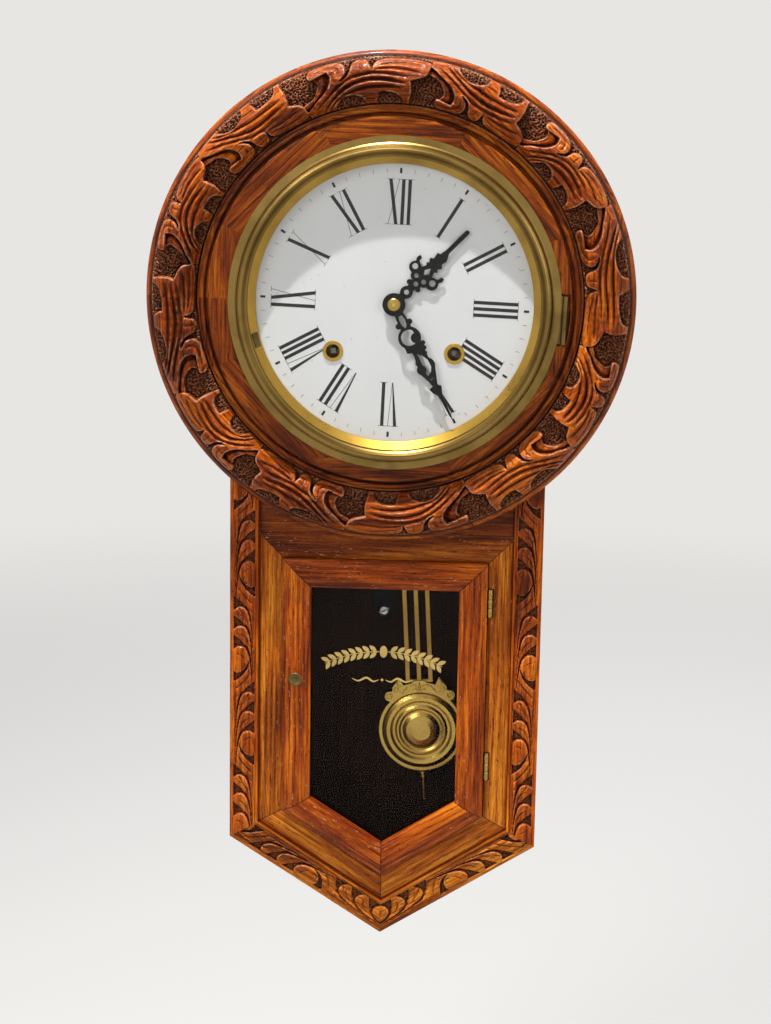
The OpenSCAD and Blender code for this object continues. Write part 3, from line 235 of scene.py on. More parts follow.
class Tree:
    """A short way to write the nodes of a material, or of the world."""

    def __init__(self, name, world=None):
        self.material = world or bpy.data.materials.new(name)
        self.material.use_nodes = True
        self.nodes = self.material.node_tree.nodes
        self.links = self.material.node_tree.links
        self.nodes.clear()
        self.out = self.nodes.new("ShaderNodeOutputWorld" if world else "ShaderNodeOutputMaterial")

    def put(self, socket, value):
        if isinstance(value, bpy.types.NodeSocket):
            self.links.new(value, socket)
        elif value is not None:
            socket.default_value = value

    def add(self, kind, inputs=None, out=0, **settings):
        node = self.nodes.new("ShaderNode" + kind)
        for key, value in settings.items():
            setattr(node, key, value)
        for key, value in (inputs or {}).items():
            self.put(node.inputs[key], value)
        return node.outputs[out]

    def finish(self, shader):
        self.links.new(shader, self.out.inputs[0])
        return self.material

    def math(self, how, a, b=None, clamp=False):
        node = self.nodes.new("ShaderNodeMath")
        node.operation, node.use_clamp = how, clamp
        self.put(node.inputs[0], a)
        self.put(node.inputs[1], b)
        return node.outputs[0]

    def times(self, a, b):
        return self.math("MULTIPLY", a, b)

    def plus(self, a, b, clamp=False):
        return self.math("ADD", a, b, clamp)

    def minus(self, a, b):
        return self.math("SUBTRACT", a, b)

    def mix(self, how, fac, a, b):
        node = self.nodes.new("ShaderNodeMix")
        node.data_type, node.blend_type = "RGBA", how
        node.clamp_factor = True
        self.put(node.inputs[0], fac)
        self.put(node.inputs[6], colour(a))
        self.put(node.inputs[7], colour(b))
        return node.outputs[2]

    def stain(self, base, where, most, tone, how="MULTIPLY"):
        """Lays a tone on the base where the mask says, and no stronger than most."""
        return self.mix(how, self.times(where, most), base, tone)

    def range(self, value, low, high, to_low=0.0, to_high=1.0, smooth=False):
        node = self.nodes.new("ShaderNodeMapRange")
        node.interpolation_type = "SMOOTHSTEP" if smooth else "LINEAR"
        self.put(node.inputs[0], value)
        for i, number in enumerate((low, high, to_low, to_high)):
            node.inputs[i + 1].default_value = number
        return node.outputs[0]

    def ramp(self, value, *stops):
        node = self.nodes.new("ShaderNodeValToRGB")
        self.put(node.inputs[0], value)
        bar = node.color_ramp
        while len(bar.elements) < len(stops):
            bar.elements.new(0.5)
        for element, (place, shade) in zip(bar.elements, stops):
            element.position = place
            element.color = colour(shade)
        return node.outputs[0]

    def radius(self, x, y):
        return self.math("SQRT", self.plus(self.times(x, x), self.times(y, y)))

    def split(self, vector):
        node = self.nodes.new("ShaderNodeSeparateXYZ")
        self.put(node.inputs[0], vector)
        return node.outputs

    def join(self, x, y, z):
        node = self.nodes.new("ShaderNodeCombineXYZ")
        for i, value in enumerate((x, y, z)):
            self.put(node.inputs[i], value)
        return node.outputs[0]

    def scaled(self, vector, scale, offset=(0, 0, 0)):
        return self.add("Mapping", {"Vector": vector, "Scale": scale, "Location": offset})

    def noise(self, vector, scale, detail=2.0, rough=0.5, stretch=(1, 1, 1), twist=0.0):
        where = self.scaled(vector, tuple(s * scale for s in stretch))
        look = {"Detail": detail, "Roughness": rough, "Distortion": twist}
        return self.add("TexNoise", {"Vector": where, "Scale": 1.0, **look})

    def place(self):
        return self.add("TexCoord", out=3)

    def bump(self, height, strength, distance):
        return self.add("Bump", {"Strength": strength, "Distance": distance, "Height": height})

    def seen_straight(self):
        """1 where a ray comes from the camera, a mirror or a pane."""
        rays = self.nodes.new("ShaderNodeLightPath").outputs
        seen = self.math("MAXIMUM", rays["Is Camera Ray"], rays["Is Glossy Ray"])
        return self.math("MAXIMUM", seen, rays["Is Transmission Ray"])

    def surface(self, **inputs):
        node = self.nodes.new("ShaderNodeBsdfPrincipled")
        for key, value in inputs.items():
            self.put(node.inputs[key.replace("_", " ")], value)
        return self.finish(node.outputs[0])


def colour(value):
    if isinstance(value, tuple) and len(value) == 3:
        return (*value, 1.0)
    return value


def screen(r, g, b):
    """A colour as a picture shows it, from 0 to 255, in linear light."""
    out = []
    for v in (r, g, b):
        v /= 255
        out.append(v / 12.92 if v <= 0.04045 else ((v + 0.055) / 1.055) ** 2.4)
    return tuple(out)


def grain_place(t, way):
    """Coordinates that run along the grain first, in metres, for one way that a board lies."""
    x, y, z = t.split(t.place())
    if way == "up":
        return t.join(z, x, y)
    if way == "across":
        return t.join(x, z, y)
    if way == "slope":
        ax = t.math("ABSOLUTE", x)
        c, s = math.cos(SLOPE), math.sin(SLOPE)
        u = t.plus(t.times(ax, c), t.times(z, s))
        v = t.minus(t.times(z, c), t.times(ax, s))
        side = t.times(t.math("SIGN", x), 0.37)
        return t.join(t.plus(u, side), v, t.plus(y, side))
    # The ring's eight blocks, each along its own chord
    first, pitch = math.radians(JOINT_FROM), math.radians(JOINT_STEP)
    around = t.minus(t.math("ARCTAN2", z, x), first)
    number = t.math("FLOOR", t.math("DIVIDE", around, pitch))
    middle = t.plus(t.times(t.plus(number, 0.5), pitch), first)
    c, s = t.math("COSINE", middle), t.math("SINE", middle)
    u = t.minus(t.times(z, c), t.times(x, s))
    v = t.plus(t.times(x, c), t.times(z, s))
    shift = t.times(number, 0.173)
    return t.join(t.plus(u, shift), v, t.plus(y, shift))


def in_from_slope(t, ax, z):
    """How far a point lies in from the case's sloping foot, in metres."""
    below = t.plus(z, t.times(t.minus(HALF_W * MM, ax), math.tan(SLOPE)))
    return t.times(t.minus(below, CORNER_Z * MM), math.cos(SLOPE))


def mitre_marks(t, tint, p, stains):
    """Dark seams at the mitres, shade beside the carved strips, and old filler in some pores."""
    x, _, z = t.split(t.place())
    ax = t.math("ABSOLUTE", x)
    upper = t.times(t.minus(t.minus(ax, z), TOP_MITRE * MM), math.sqrt(0.5))
    lower = t.minus(t.minus(z, CORNER_Z * MM), t.times(t.minus(HALF_W * MM, ax), CORNER_RISE))
    lower = t.times(lower, 1 / math.hypot(1, CORNER_RISE))
    near = t.math("MINIMUM", t.math("ABSOLUTE", upper), t.math("ABSOLUTE", lower))
    # The seam at the foot's point lies at x = 0. A metre is added above it, to keep it off the top rails.
    near = t.math("MINIMUM", near, t.plus(ax, t.math("GREATER_THAN", z, -0.3)))
    tint = t.stain(tint, t.range(near, 0.00028, 0.00062, 1.0, 0.0), 0.9, (0.10, 0.05, 0.03))
    beside = t.minus((HALF_W - STRIP_W) * MM, ax)
    below = t.minus(in_from_slope(t, ax, z), STRIP_W * MM)
    shade = t.range(t.math("MINIMUM", beside, below), 0.0004, 0.0028, 1.0, 0.0, smooth=True)
    tint = t.stain(tint, shade, 0.85, (0.26, 0.14, 0.08))
    filled = t.noise(p, 1, 2, 0.6, (150, 760, 760))
    filled = t.times(t.range(filled, 0.655, 0.71), t.range(stains, 0.35, 0.55))
    return t.stain(tint, filled, 0.5, screen(232, 186, 140), "MIX")


def carved_marks(t, tint, rough, height):
    """Painted shade in the hollows, the punched ground darkened with painted shade, and rubbed edges with a
    painted sheen, from the marks that the carved mesh carries.
    """
    wear_and_sheen, hollow_shade, ground = t.split(t.add("Attribute", attribute_name="carve"))
    # Painted shade in the carving's hollows
    tint = t.stain(tint, hollow_shade, 0.95, (0.10, 0.05, 0.035))
    stray = t.add("TexNoise", {"Scale": 300.0, "Vector": t.place()}, out=1)
    where = t.add("VectorMath", {0: t.scaled(t.place(), (430, 430, 430)), 1: stray})
    holes = t.add("TexVoronoi", {"Vector": where, "Scale": 1.0, "Randomness": 0.9})
    holes = t.times(t.range(holes, 0.22, 0.50, 1.0, 0.0, smooth=True), ground)
    # Painted shade: the sunk ground and its punch holes darkened
    tint = t.stain(tint, ground, 0.80, screen(88, 44, 20), "MIX")
    tint = t.mix("MULTIPLY", holes, tint, (0.10, 0.055, 0.04))
    rub = t.range(t.noise(t.place(), 210, 3, 0.6), 0.36, 0.62, smooth=True)
    # Rubbed wear with a painted sheen on the proud edges
    tint = t.stain(tint, t.times(wear_and_sheen, rub), 0.6, screen(206, 150, 112), "MIX")
    rough = t.plus(rough, t.times(ground, 0.3), clamp=True)
    return tint, rough, t.minus(height, t.times(holes, 7.0))


def edge_marks(t, tint):
    """Pale rubbed edges with a painted sheen, and painted shade in the corners of a plain board."""
    # Rubbed wear with a painted sheen on the convex edges
    worn_and_sheen = t.add("AmbientOcclusion", {"Distance": 0.0022}, out=1, only_local=True, inside=True)
    rub = t.range(t.noise(t.place(), 160, 3, 0.6), 0.42, 0.62, smooth=True)
    worn_and_sheen = t.times(t.range(worn_and_sheen, 0.62, 0.30), rub)
    tint = t.stain(tint, worn_and_sheen, 0.35, screen(218, 150, 96), "MIX")
    # Painted shade in the corners, from ambient occlusion
    corner_shade = t.add("AmbientOcclusion", {"Distance": 0.006}, out=1, only_local=True)
    return t.stain(tint, t.range(corner_shade, 0.85, 0.45), 0.7, (0.28, 0.16, 0.10))


def paint_inner_shade(t, tint):
    """Painted shade: the inner faces of the case darkened almost to black."""
    x, y, z = t.split(t.place())
    ax = t.math("ABSOLUTE", x)
    hidden = t.math("LESS_THAN", ax, INNER_HALF)
    for how, value, limit in (
        ("LESS_THAN", z, INNER_TOP),
        ("GREATER_THAN", in_from_slope(t, ax, z), INNER_FOOT),
        ("LESS_THAN", y, INNER_BACK),
        ("GREATER_THAN", y, INNER_FRONT),
    ):
        hidden = t.times(hidden, t.math(how, value, limit))
    # Painted shade over the inner faces
    return t.stain(tint, hidden, 0.93, screen(30, 16, 8), "MIX")


def oak(name, way, tone, carved=False, coat=0.05, inner_shade=False, spacing=5.0, seed=0.0, mitred=False):
    """Varnished open-grained oak. tone is (dark, middle, light) in linear light."""
    t = Tree(name)
    p = t.scaled(grain_place(t, way), (1, 1, 1), (seed, seed * 0.7, seed * 0.3))
    dark, middle, light = tone
    patches = t.noise(p, 1, 3, 0.6, (7, 30, 30))
    streaks = t.noise(p, 1, 5, 0.68, (11, 330, 330))
    flame = t.noise(p, 1, 2, 0.5, (3.2, 14, 14))
    _, v, w = t.split(p)
    rings = t.times(t.plus(v, t.times(w, 0.6)), 1000 / spacing)
    rings = t.plus(rings, t.times(flame, 9))
    rings = t.math("FRACT", rings)
    early = t.range(rings, 0.0, 0.35, 1.0, 0.0, smooth=True)
    late = t.range(rings, 0.88, 1.0, smooth=True)
    ringed = t.math("MAXIMUM", early, late)
    fibre = t.noise(p, 1, 3, 0.6, (40, 1300, 1300))
    pores = t.noise(p, 1, 2, 0.6, (110, 1000, 1000))
    pores = t.range(pores, 0.36, 0.45, 1.0, 0.0, smooth=True)
    pores = t.times(pores, t.range(ringed, 0.0, 1.0, 0.45, 1.0))
    both = t.plus(t.times(patches, 0.45), t.times(streaks, 0.55))
    tint = t.ramp(both, (0.395, dark), (0.5, middle), (0.605, light))
    tint = t.stain(tint, ringed, 0.55, (0.50, 0.34, 0.22))
    tint = t.mix("MULTIPLY", t.range(fibre, 0.35, 0.62, 0.55, 0.0), tint, (0.42, 0.28, 0.18))
    tint = t.stain(tint, pores, 0.85, (0.14, 0.08, 0.05))
    stains = t.noise(p, 1, 4, 0.6, (9, 34, 34), 0.6)
    tint = t.mix("MULTIPLY", t.range(stains, 0.54, 0.68, 0, 0.6, smooth=True), tint, (0.40, 0.24, 0.14))
    specks = t.noise(t.place(), 330, 2, 0.55)
    tint = t.mix("MULTIPLY", t.range(specks, 0.69, 0.74, 0, 0.75), tint, (0.16, 0.09, 0.05))
    if mitred:
        tint = mitre_marks(t, tint, p, stains)
    rough = t.range(patches, 0.3, 0.7, 0.46, 0.32)
    height = t.minus(t.plus(t.times(fibre, 0.35), t.times(streaks, 0.9)), pores)
    if carved:
        tint, rough, height = carved_marks(t, tint, rough, height)
    else:
        tint = edge_marks(t, tint)
    # Painted shade on the case's inner faces, with a duller surface
    if inner_shade:
        tint = paint_inner_shade(t, tint)
        rough = t.plus(rough, 0.25, clamp=True)
    return t.surface(
        Base_Color=tint,
        Roughness=rough,
        Normal=t.bump(height, 0.6, 0.00006 if inner_shade else 0.00020),
        Coat_Weight=0.0 if inner_shade else coat,
        Coat_Roughness=0.16,
        Specular_IOR_Level=0.06 if inner_shade else 0.13,
    )


def metal(name, tone, stain, rough, corner_shade=0.7, cloudy=0.6, rings=None, pitted=0.05):
    """Aged metal: cloudy tarnish, fine scratches, painted shade in the corners. tone and stain are linear.

    rings gives painted dark reflections in bands about a centre: (centre, least radius, most radius, stops of
    share, shade and warmth).
    """
    t = Tree(name)
    p = t.place()
    cloud = t.noise(p, 26, 3, 0.55)
    fine = t.noise(p, 900, 2, 0.6)
    spots = t.noise(p, 420, 2, 0.5)
    tint = t.stain(tone, t.range(cloud, 0.40, 0.72, smooth=True), cloudy, stain, "MIX")
    # Painted dark reflections in bands about a centre
    if rings:
        (cx, cz), low, high, stops = rings
        x, _, z = t.split(p)
        far = t.radius(t.minus(x, cx * MM), t.minus(z, cz * MM))
        reflection_bands = [(at, (v, v * warm, v * warm**2)) for at, v, warm in stops]
        tint = t.mix("MULTIPLY", 1.0, tint, t.ramp(t.range(far, low * MM, high * MM), *reflection_bands))
    tint = t.mix("MULTIPLY", t.range(spots, 0.70, 0.76, 0, 0.45), tint, (0.35, 0.25, 0.15))
    # Painted shade in the corners, from ambient occlusion
    corner = t.add("AmbientOcclusion", {"Distance": 0.003}, out=1, only_local=True)
    tint = t.stain(tint, t.range(corner, 0.8, 0.35), corner_shade, (0.25, 0.17, 0.10))
    shine = t.plus(t.range(cloud, 0.3, 0.75, *rough), t.range(fine, 0.3, 0.7, -0.03, 0.05))
    return t.surface(
        Base_Color=tint,
        Metallic=1.0,
        Roughness=shine,
        Normal=t.bump(fine, pitted, 0.00003),
    )


def glass(name, tint):
    """A clear pane that lets lamps through and mirrors more at a glancing angle."""
    t = Tree(name)
    smear = t.noise(t.place(), 28, 4, 0.6)
    rough = t.range(smear, 0.35, 0.75, 0.015, 0.09)
    through = t.add("BsdfTransparent", {"Color": colour(tint)})
    mirror = t.add("BsdfGlossy", {"Color": (1, 1, 1, 1), "Roughness": rough})
    amount = t.times(t.add("Fresnel", {"IOR": 1.45}), 0.13)
    return t.finish(t.add("MixShader", {0: amount, 1: through, 2: mirror}))


def painted(name, tone, shade, rough=0.38, speck=0.0, coat=0.2, shine=0.4):
    """Enamel or paint with a faint cloud of age, and tiny specks if asked."""
    t = Tree(name)
    p = t.place()
    cloud = t.noise(p, 16, 4, 0.6)
    tint = t.mix("MIX", t.range(cloud, 0.35, 0.75, 0.0, 0.55), tone, shade)
    if speck:
        dots = t.noise(p, 520, 1, 0.5)
        tint = t.mix("MIX", t.range(dots, 0.775, 0.80, 0.0, speck), tint, (0.20, 0.12, 0.07))
    fine = t.noise(p, 260, 2, 0.5)
    return t.surface(
        Base_Color=tint,
        Roughness=t.range(cloud, 0.3, 0.8, rough, rough + 0.12),
        Normal=t.bump(fine, 0.06, 0.0001),
        Coat_Weight=coat,
        Coat_Roughness=0.15,
        Specular_IOR_Level=shine,
    )


# Dark, middle and light tone of each wood
RED = (screen(84, 29, 1), screen(158, 67, 4), screen(214, 114, 14))
EDGE = (screen(98, 36, 1), screen(184, 80, 6), screen(236, 132, 20))
STRIP = (screen(106, 40, 1), screen(200, 90, 8), screen(248, 146, 28))
FACE = (screen(112, 48, 3), screen(190, 98, 12), screen(238, 150, 40))
RAIL = (screen(72, 26, 2), screen(132, 58, 6), screen(184, 102, 22))
CASE = (screen(66, 25, 4), screen(118, 52, 10), screen(154, 82, 26))

ring_oak = oak("ring_oak", "ring", RED, carved=True, coat=0.09)
band_oak = oak("band_oak", "ring", RAIL, coat=0.08, spacing=6.5, seed=1.7)
strip_oak = oak("strip_oak", "up", STRIP, carved=True, coat=0.07, seed=2.3)
low_strip_oak = oak("low_strip_oak", "slope", FACE, carved=True, coat=0.07, seed=2.9)
stile_oak = oak("stile_oak", "up", FACE, seed=0.4, mitred=True)
rail_oak = oak("rail_oak", "across", RAIL, seed=0.9, mitred=True)
low_rail_oak = oak("low_rail_oak", "slope", FACE, seed=1.3, mitred=True)
door_stile_oak = oak("door_stile_oak", "up", EDGE, coat=0.08, seed=3.1, mitred=True)
door_rail_oak = oak("door_rail_oak", "across", EDGE, coat=0.08, seed=3.7, mitred=True)
door_low_oak = oak("door_low_oak", "slope", EDGE, coat=0.08, seed=4.1, mitred=True)
case_oak = oak("case_oak", "up", CASE, inner_shade=True, seed=5.2)
end_oak = oak("end_oak", "across", CASE, inner_shade=True, seed=6.1)

# Painted dark reflections across the spun brass rim, by share of its width
RIM_REFLECTION_BANDS = (
    (0.02, 0.55, 0.9),
    (0.10, 0.95, 1.0),
    (0.18, 0.42, 0.86),
    (0.27, 0.50, 0.9),
    (0.33, 1.0, 1.0),
    (0.44, 0.95, 1.0),
    (0.475, 0.38, 0.85),
    (0.51, 1.0, 1.0),
)
bezel_brass = metal(
    "bezel_brass",
    (0.29, 0.19, 0.055),
    (0.13, 0.08, 0.021),
    (0.27, 0.36),
    pitted=0.0,
    rings=(DIAL, 124.0, 142.0, RIM_REFLECTION_BANDS),
)
sight_brass = metal("sight_brass", (0.60, 0.36, 0.06), (0.38, 0.22, 0.03), (0.26, 0.42))
bob_brass = metal(
    "bob_brass", (0.56, 0.36, 0.09), (0.31, 0.185, 0.04), (0.25, 0.34), cloudy=0.45, pitted=0.0
)
strip_brass = metal("strip_brass", (0.44, 0.25, 0.06), (0.24, 0.13, 0.03), (0.28, 0.38), cloudy=0.5)
train_brass = metal("train_brass", (0.72, 0.54, 0.22), (0.45, 0.31, 0.11), (0.22, 0.4))
old_brass = metal("old_brass", (0.20, 0.14, 0.05), (0.05, 0.035, 0.014), (0.22, 0.45), cloudy=0.8)
hinge_brass = metal(
    "hinge_brass", (0.42, 0.29, 0.09), (0.10, 0.065, 0.02), (0.20, 0.34), corner_shade=1.0, cloudy=0.8
)
dull_steel = metal("dull_steel", (0.20, 0.175, 0.15), (0.09, 0.07, 0.055), (0.34, 0.5))
steel = metal("steel", (0.52, 0.51, 0.50), (0.33, 0.30, 0.27), (0.22, 0.42))
black_iron = painted(
    "black_iron", (0.006, 0.0055, 0.005), (0.012, 0.010, 0.009), 0.72, coat=0.0, shine=0.15
)
hand_black = painted("hand_black", (0.006, 0.005, 0.005), (0.012, 0.011, 0.010), 0.40, coat=0.06, shine=0.2)
dial_enamel = painted(
    "dial_enamel", (0.78, 0.775, 0.785), (0.71, 0.70, 0.70), 0.42, speck=0.7, coat=0.1, shine=0.25
)
dial_ink = painted("dial_ink", (0.014, 0.011, 0.011), (0.026, 0.021, 0.020), 0.40)
clear_glass = glass("clear_glass", (0.985, 0.99, 0.985))
gilt = metal("gilt", (0.80, 0.56, 0.20), (0.58, 0.38, 0.13), (0.32, 0.5), corner_shade=0.0)

FINISHES = (
    (case_oak, "back_board side_boards head_board"),
    (end_oak, "end_boards"),
    (rail_oak, "frame_top_rail"),
    (stile_oak, "frame_stiles"),
    (low_rail_oak, "frame_bottom_rails"),
    (door_rail_oak, "door_top_rail"),
    (door_stile_oak, "door_stiles"),
    (door_low_oak, "door_bottom_rails"),
    (strip_oak, "side_carved_strips"),
    (low_strip_oak, "bottom_carved_strips"),
    (ring_oak, "head_ring"),
    (dial_enamel, "dial_pan"),
    (clear_glass, "door_glass bezel_glass"),
    (bezel_brass, "bezel_ring"),
    (sight_brass, "sight_ring winding_grommets"),
    (bob_brass, "hand_nut bob bob_crown pendulum_rod rating_nut"),
    (strip_brass, "pendulum_strips"),
    (old_brass, "door_knob door_hinge_leaves frame_hinge_leaves bezel_hinge_strap bezel_hinge_plate"),
    (old_brass, "glass_clip"),
    (steel, "suspension_spring case_screws hanger_plate gong_coil"),
    (dull_steel, "time_winding_arbor strike_winding_arbor"),
    (black_iron, "gong_bracket"),
    (hand_black, "minute_hand hour_hand"),
)
FINISH = {node: finish for finish, names in FINISHES for node in names.split()}
SLOT_FINISH = {
    "train_brass": train_brass,
    "polished_brass": bezel_brass,
    "steel": steel,
    "cast_iron": black_iron,
}
slot_of = {part["node"]: part["material_slot"] for part in frame["record"]["subparts"]}
for name, node in NODES.items():
    finish = FINISH.get(name) or SLOT_FINISH[slot_of[name]]
    node.data.materials.clear()
    node.data.materials.append(finish)

# Carved head ring

# Length on which the one leaf is drawn, the middle of the carved band, and the round section of the roll
LEAF_LONG = 97.0
RING_MID = 185.0
ROLL_MID, ROLL_HALF = 185.25, 19.25
ROLL_FOOT, ROLL_TOP = 10.5, 29.5
# Where each hand-cut leaf begins, in degrees. They bend inward and outward by turns.
LEAF_STARTS = [24.8, 51.3, 80.6, 113.9, 144.1, 170.4, 204.6, 230.2, 259.9, 293.7, 322.7, 348.3]

# Outline of one leaf in smooth runs: percent of its length, and mm out from the middle of the roll
LEAF_EDGE = [
    [(0.3, -12.0), (1.6, -7.7), (5.5, -4.3), (10.9, -2.3), (14.0, -0.9)],
    [(14.0, -0.9), (13.1, 3.1), (12.8, 8.5), (13.6, 12.6), (14.4, 16.6), (14.7, 22)],
    [(19.1, 22), (19.4, 18.0), (21.1, 13.9), (25.0, 11.2), (29.7, 9.9), (35.2, 9.3), (39.1, 9.6)],
    [(39.1, 9.6), (39.7, 12.6), (41.4, 16.6), (43.8, 22)],
    [(49.7, 22), (50.3, 18.6), (51.3, 15.9), (53.4, 12.8), (57.8, 10.7), (62.5, 9.9), (68.0, 10.5),
     (72.7, 13.2), (76.6, 17.3), (78.1, 22)],
    [(99.2, 22), (99.7, 16.6), (100.6, 13.8)],
    [(100.6, 13.8), (95.3, 11.2), (90.6, 7.8), (84.4, 4.5), (79.7, 1.1), (76.9, -2.3), (75.3, -5.7),
     (75.0, -9.1), (76.6, -12.8)],
    [(76.6, -12.8), (82.8, -11.8), (89.8, -10.7), (91.8, -11.8), (92.2, -14.5), (90.6, -17.2),
     (85.9, -19.0), (76.6, -19.5), (70.3, -19.0), (65.6, -17.2), (62.8, -14.5), (61.9, -11.1),
     (62.9, -7.7), (65.2, -5.3), (68.3, -2.8)],
    [(68.3, -2.8), (64.2, -4.4), (60.8, -7.2), (59.2, -10.7), (57.9, -14.5), (55.5, -16.9),
     (52.3, -18.1), (48.4, -17.7), (46.2, -15.8), (45.2, -13.1), (43.6, -9.6)],
    [(43.6, -9.6), (42.9, -12.4), (41.6, -14.7), (38.3, -16.9), (29.7, -18.3), (14.1, -18.6),
     (4.7, -17.4), (0, -15.8), (-0.6, -13.9), (0.3, -12.0)],
]
# The rolled-over back of the leaf, a lower hollow between the tip and the hook
BACK_INNER = LEAF_EDGE[6]
BACK_OUTER = [(103.4, 11.6), (101.6, 7.8), (97.6, 6.2), (92.2, 4.2), (88.9, 0.9), (86.6, -3.0),
              (85.6, -6.2), (86.6, -8.6), (88.8, -10.9)]
# Gouge cuts: points, half width and depth in mm
GROOVES = [
    ([(40.6, 11.4), (48.4, 11.9), (56.5, 12.8)], 1.3, 0.9),
    ([(17.5, 6.4), (22.7, 5.8), (29.7, 5.0), (39.1, 4.6), (48.4, 4.9), (57.8, 6.5), (67.2, 8.9),
      (75, 12.3), (79.7, 15.5), (82.8, 19)], 2.7, 2.7),
    ([(17.0, 1.9), (20.3, 1.1), (29.7, -0.5), (39.1, -1.5), (46.9, -1.5), (56.3, 0.1), (65.6, 3.5),
      (74.2, 8.5), (81.3, 13.2), (87.7, 18.5)], 2.9, 3.1),
    ([(15.5, -3.3), (26.6, -5.3), (35.9, -6.2), (45.3, -6.5), (53.1, -5.7), (61.5, -3.4), (69, 0.4),
      (76.1, 4.5), (84.5, 9.6), (93.4, 15.0)], 2.6, 2.2),
    ([(6.2, -7.6), (10.2, -8.6), (20.3, -10.0), (29.7, -10.4), (41.6, -9.4)], 2.3, 1.9),
    ([(4.8, -13.6), (16, -14.6), (28, -14.4), (38.6, -12.8)], 1.9, 1.2),
    ([(50.6, -8.6), (51.2, -12.2), (51.0, -15.8)], 1.8, 0.8),
    ([(69.4, -6.2), (67.8, -10.2), (70.3, -14.6), (78.0, -16.2), (87.5, -15.0)], 2.0, 1.3),
]
# Swellings of the hooks: place as above, half sizes and height in mm
SWELLINGS = [(78.0, -15.5, 19.0, 5.5, 3.2), (66.5, -9.5, 6.0, 9.0, 2.2), (52.0, -13.0, 8.5, 7.5, 2.4)]
# Cell of the grids on which one leaf and one half turn of a strip are worked out, in mm
CELL = 0.3
# Width of the steep wall round a carved form, in mm
WALL = 0.9


def leaf_line(points):
    return spline([(x * LEAF_LONG / 100, y) for x, y in points])


def leaf_template():
    """How far inside the leaf each point lies, how deep it is cut, and its lift, on a grid in mm."""
    xs = np.arange(-0.25 * LEAF_LONG, 1.25 * LEAF_LONG, CELL)
    ys = np.arange(-22.0, 22.01, CELL)
    x, y = np.meshgrid(xs, ys)
    edge = np.concatenate([leaf_line(part) for part in LEAF_EDGE])
    reach = reach_into(x, y, edge)
    inner, outer = leaf_line(BACK_INNER), leaf_line(BACK_OUTER)
    back_reach = reach_into(x, y, np.vstack([inner, outer[::-1]]))
    cut = np.zeros(x.shape)
    for points, half, deep in GROOVES:
        d, along = line_distance(x, y, leaf_line(points))
        taper = np.clip(np.minimum(along / 0.16, (1 - along) / 0.12), 0, 1) ** 0.6
        width = half * (0.55 + 0.45 * taper) * np.clip(1.35 - 0.75 * along, 0.6, 1.0)
        cut = np.maximum(cut, 1.3 * deep * taper * np.clip(1 - d / width, 0, 1) ** 1.35)
    waist = np.sin(np.clip((x / LEAF_LONG - 0.16) / 0.55, 0, 1) * math.pi) ** 2
    cut += 1.5 * waist * np.clip((y + 16) / 20, 0, 1)
    lift = np.zeros(x.shape)
    for cx, cy, rx, ry, high in SWELLINGS:
        rho = ((x - cx * LEAF_LONG / 100) / rx) ** 2 + ((y - cy) / ry) ** 2
        lift = np.maximum(lift, high * np.clip(1 - rho, 0, 1) ** 0.6)
    cut += 0.9 * np.clip(1 - reach, 0, 1) ** 2
    d_in, _ = line_distance(x, y, inner)
    d_out, _ = line_distance(x, y, outer)
    across = d_in / np.maximum(d_in + d_out, 1e-6)
    hollow = 7.0 - 3.4 * across + 0.7 * np.sin(across * 3 * math.pi)
    return xs, ys, reach, cut, lift, back_reach, hollow


def scatter(col, row, by_col, by_row, stretch, seed):
    """A fixed scattered number from 0 to 1 for every cell of a plane."""
    mess = np.sin(col * by_col + row * by_row + seed) * stretch
    return mess - np.floor(mess)


def punched(arc, r, size, seed):
    """Round punch marks scattered over a plane, from 0 to 1."""
    out = np.zeros(arc.shape)
    col, row = np.floor(arc / size), np.floor(r / size)
    for dc in (-1, 0, 1):
        for dr in (-1, 0, 1):
            c, q = col + dc, row + dr
            mx = scatter(c, q, 127.1, 311.7, 43758.5453, seed)
            my = scatter(c, q, 269.5, 183.3, 24634.6345, seed)
            d = np.hypot(arc - (c + mx) * size, r - (q + my) * size)
            out = np.maximum(out, np.clip(1 - (d / (size * (0.34 + 0.2 * my))) ** 2, 0, 1))
    return out


def sample(xs, ys, field, x, y):
    """Bilinear reading of a grid."""
    i = np.clip((x - xs[0]) / (xs[1] - xs[0]), 0, len(xs) - 1.001)
    j = np.clip((y - ys[0]) / (ys[1] - ys[0]), 0, len(ys) - 1.001)
    i0, j0 = i.astype(int), j.astype(int)
    fx, fy = i - i0, j - j0
    top = field[j0, i0] * (1 - fx) + field[j0, i0 + 1] * fx
    low = field[j0 + 1, i0] * (1 - fx) + field[j0 + 1, i0 + 1] * fx
    return top * (1 - fy) + low * fy


def marks_of(height, ground, rows, cols, wrap):
    """Rubbed wear with a painted sheen on what stands proud, painted shade in what lies low, and the ground,
    each from 0 to 1.
    """
    near = height - box_blur(height, rows, cols, wrap)
    far = height - box_blur(height, 3 * rows, 3 * cols, wrap)
    # Rubbed wear and a painted sheen where a point stands above its neighbours
    wear_and_sheen = np.clip((near - 0.25) / 0.9, 0, 1)
    # Painted shade: darker the lower a point lies below its neighbours
    hollow_shade = np.clip((-near - 0.05) / 0.55, 0, 1) * 0.85 + np.clip((-far - 0.5) / 2.4, 0, 1) * 0.5
    return np.stack([wear_and_sheen, np.clip(hollow_shade, 0, 1), np.clip(ground, 0, 1)], axis=-1)


def paint_marks(piece, marks):
    """Stores the three marks of every vertex for the material to read."""
    layer = piece.data.attributes.new("carve", "FLOAT_COLOR", "POINT")
    full = np.ones((len(marks), 4), np.float32)
    full[:, :3] = marks
    layer.data.foreach_set("color", full.ravel())


# Reach of a point that no leaf comes near
OUTSIDE = -9.0


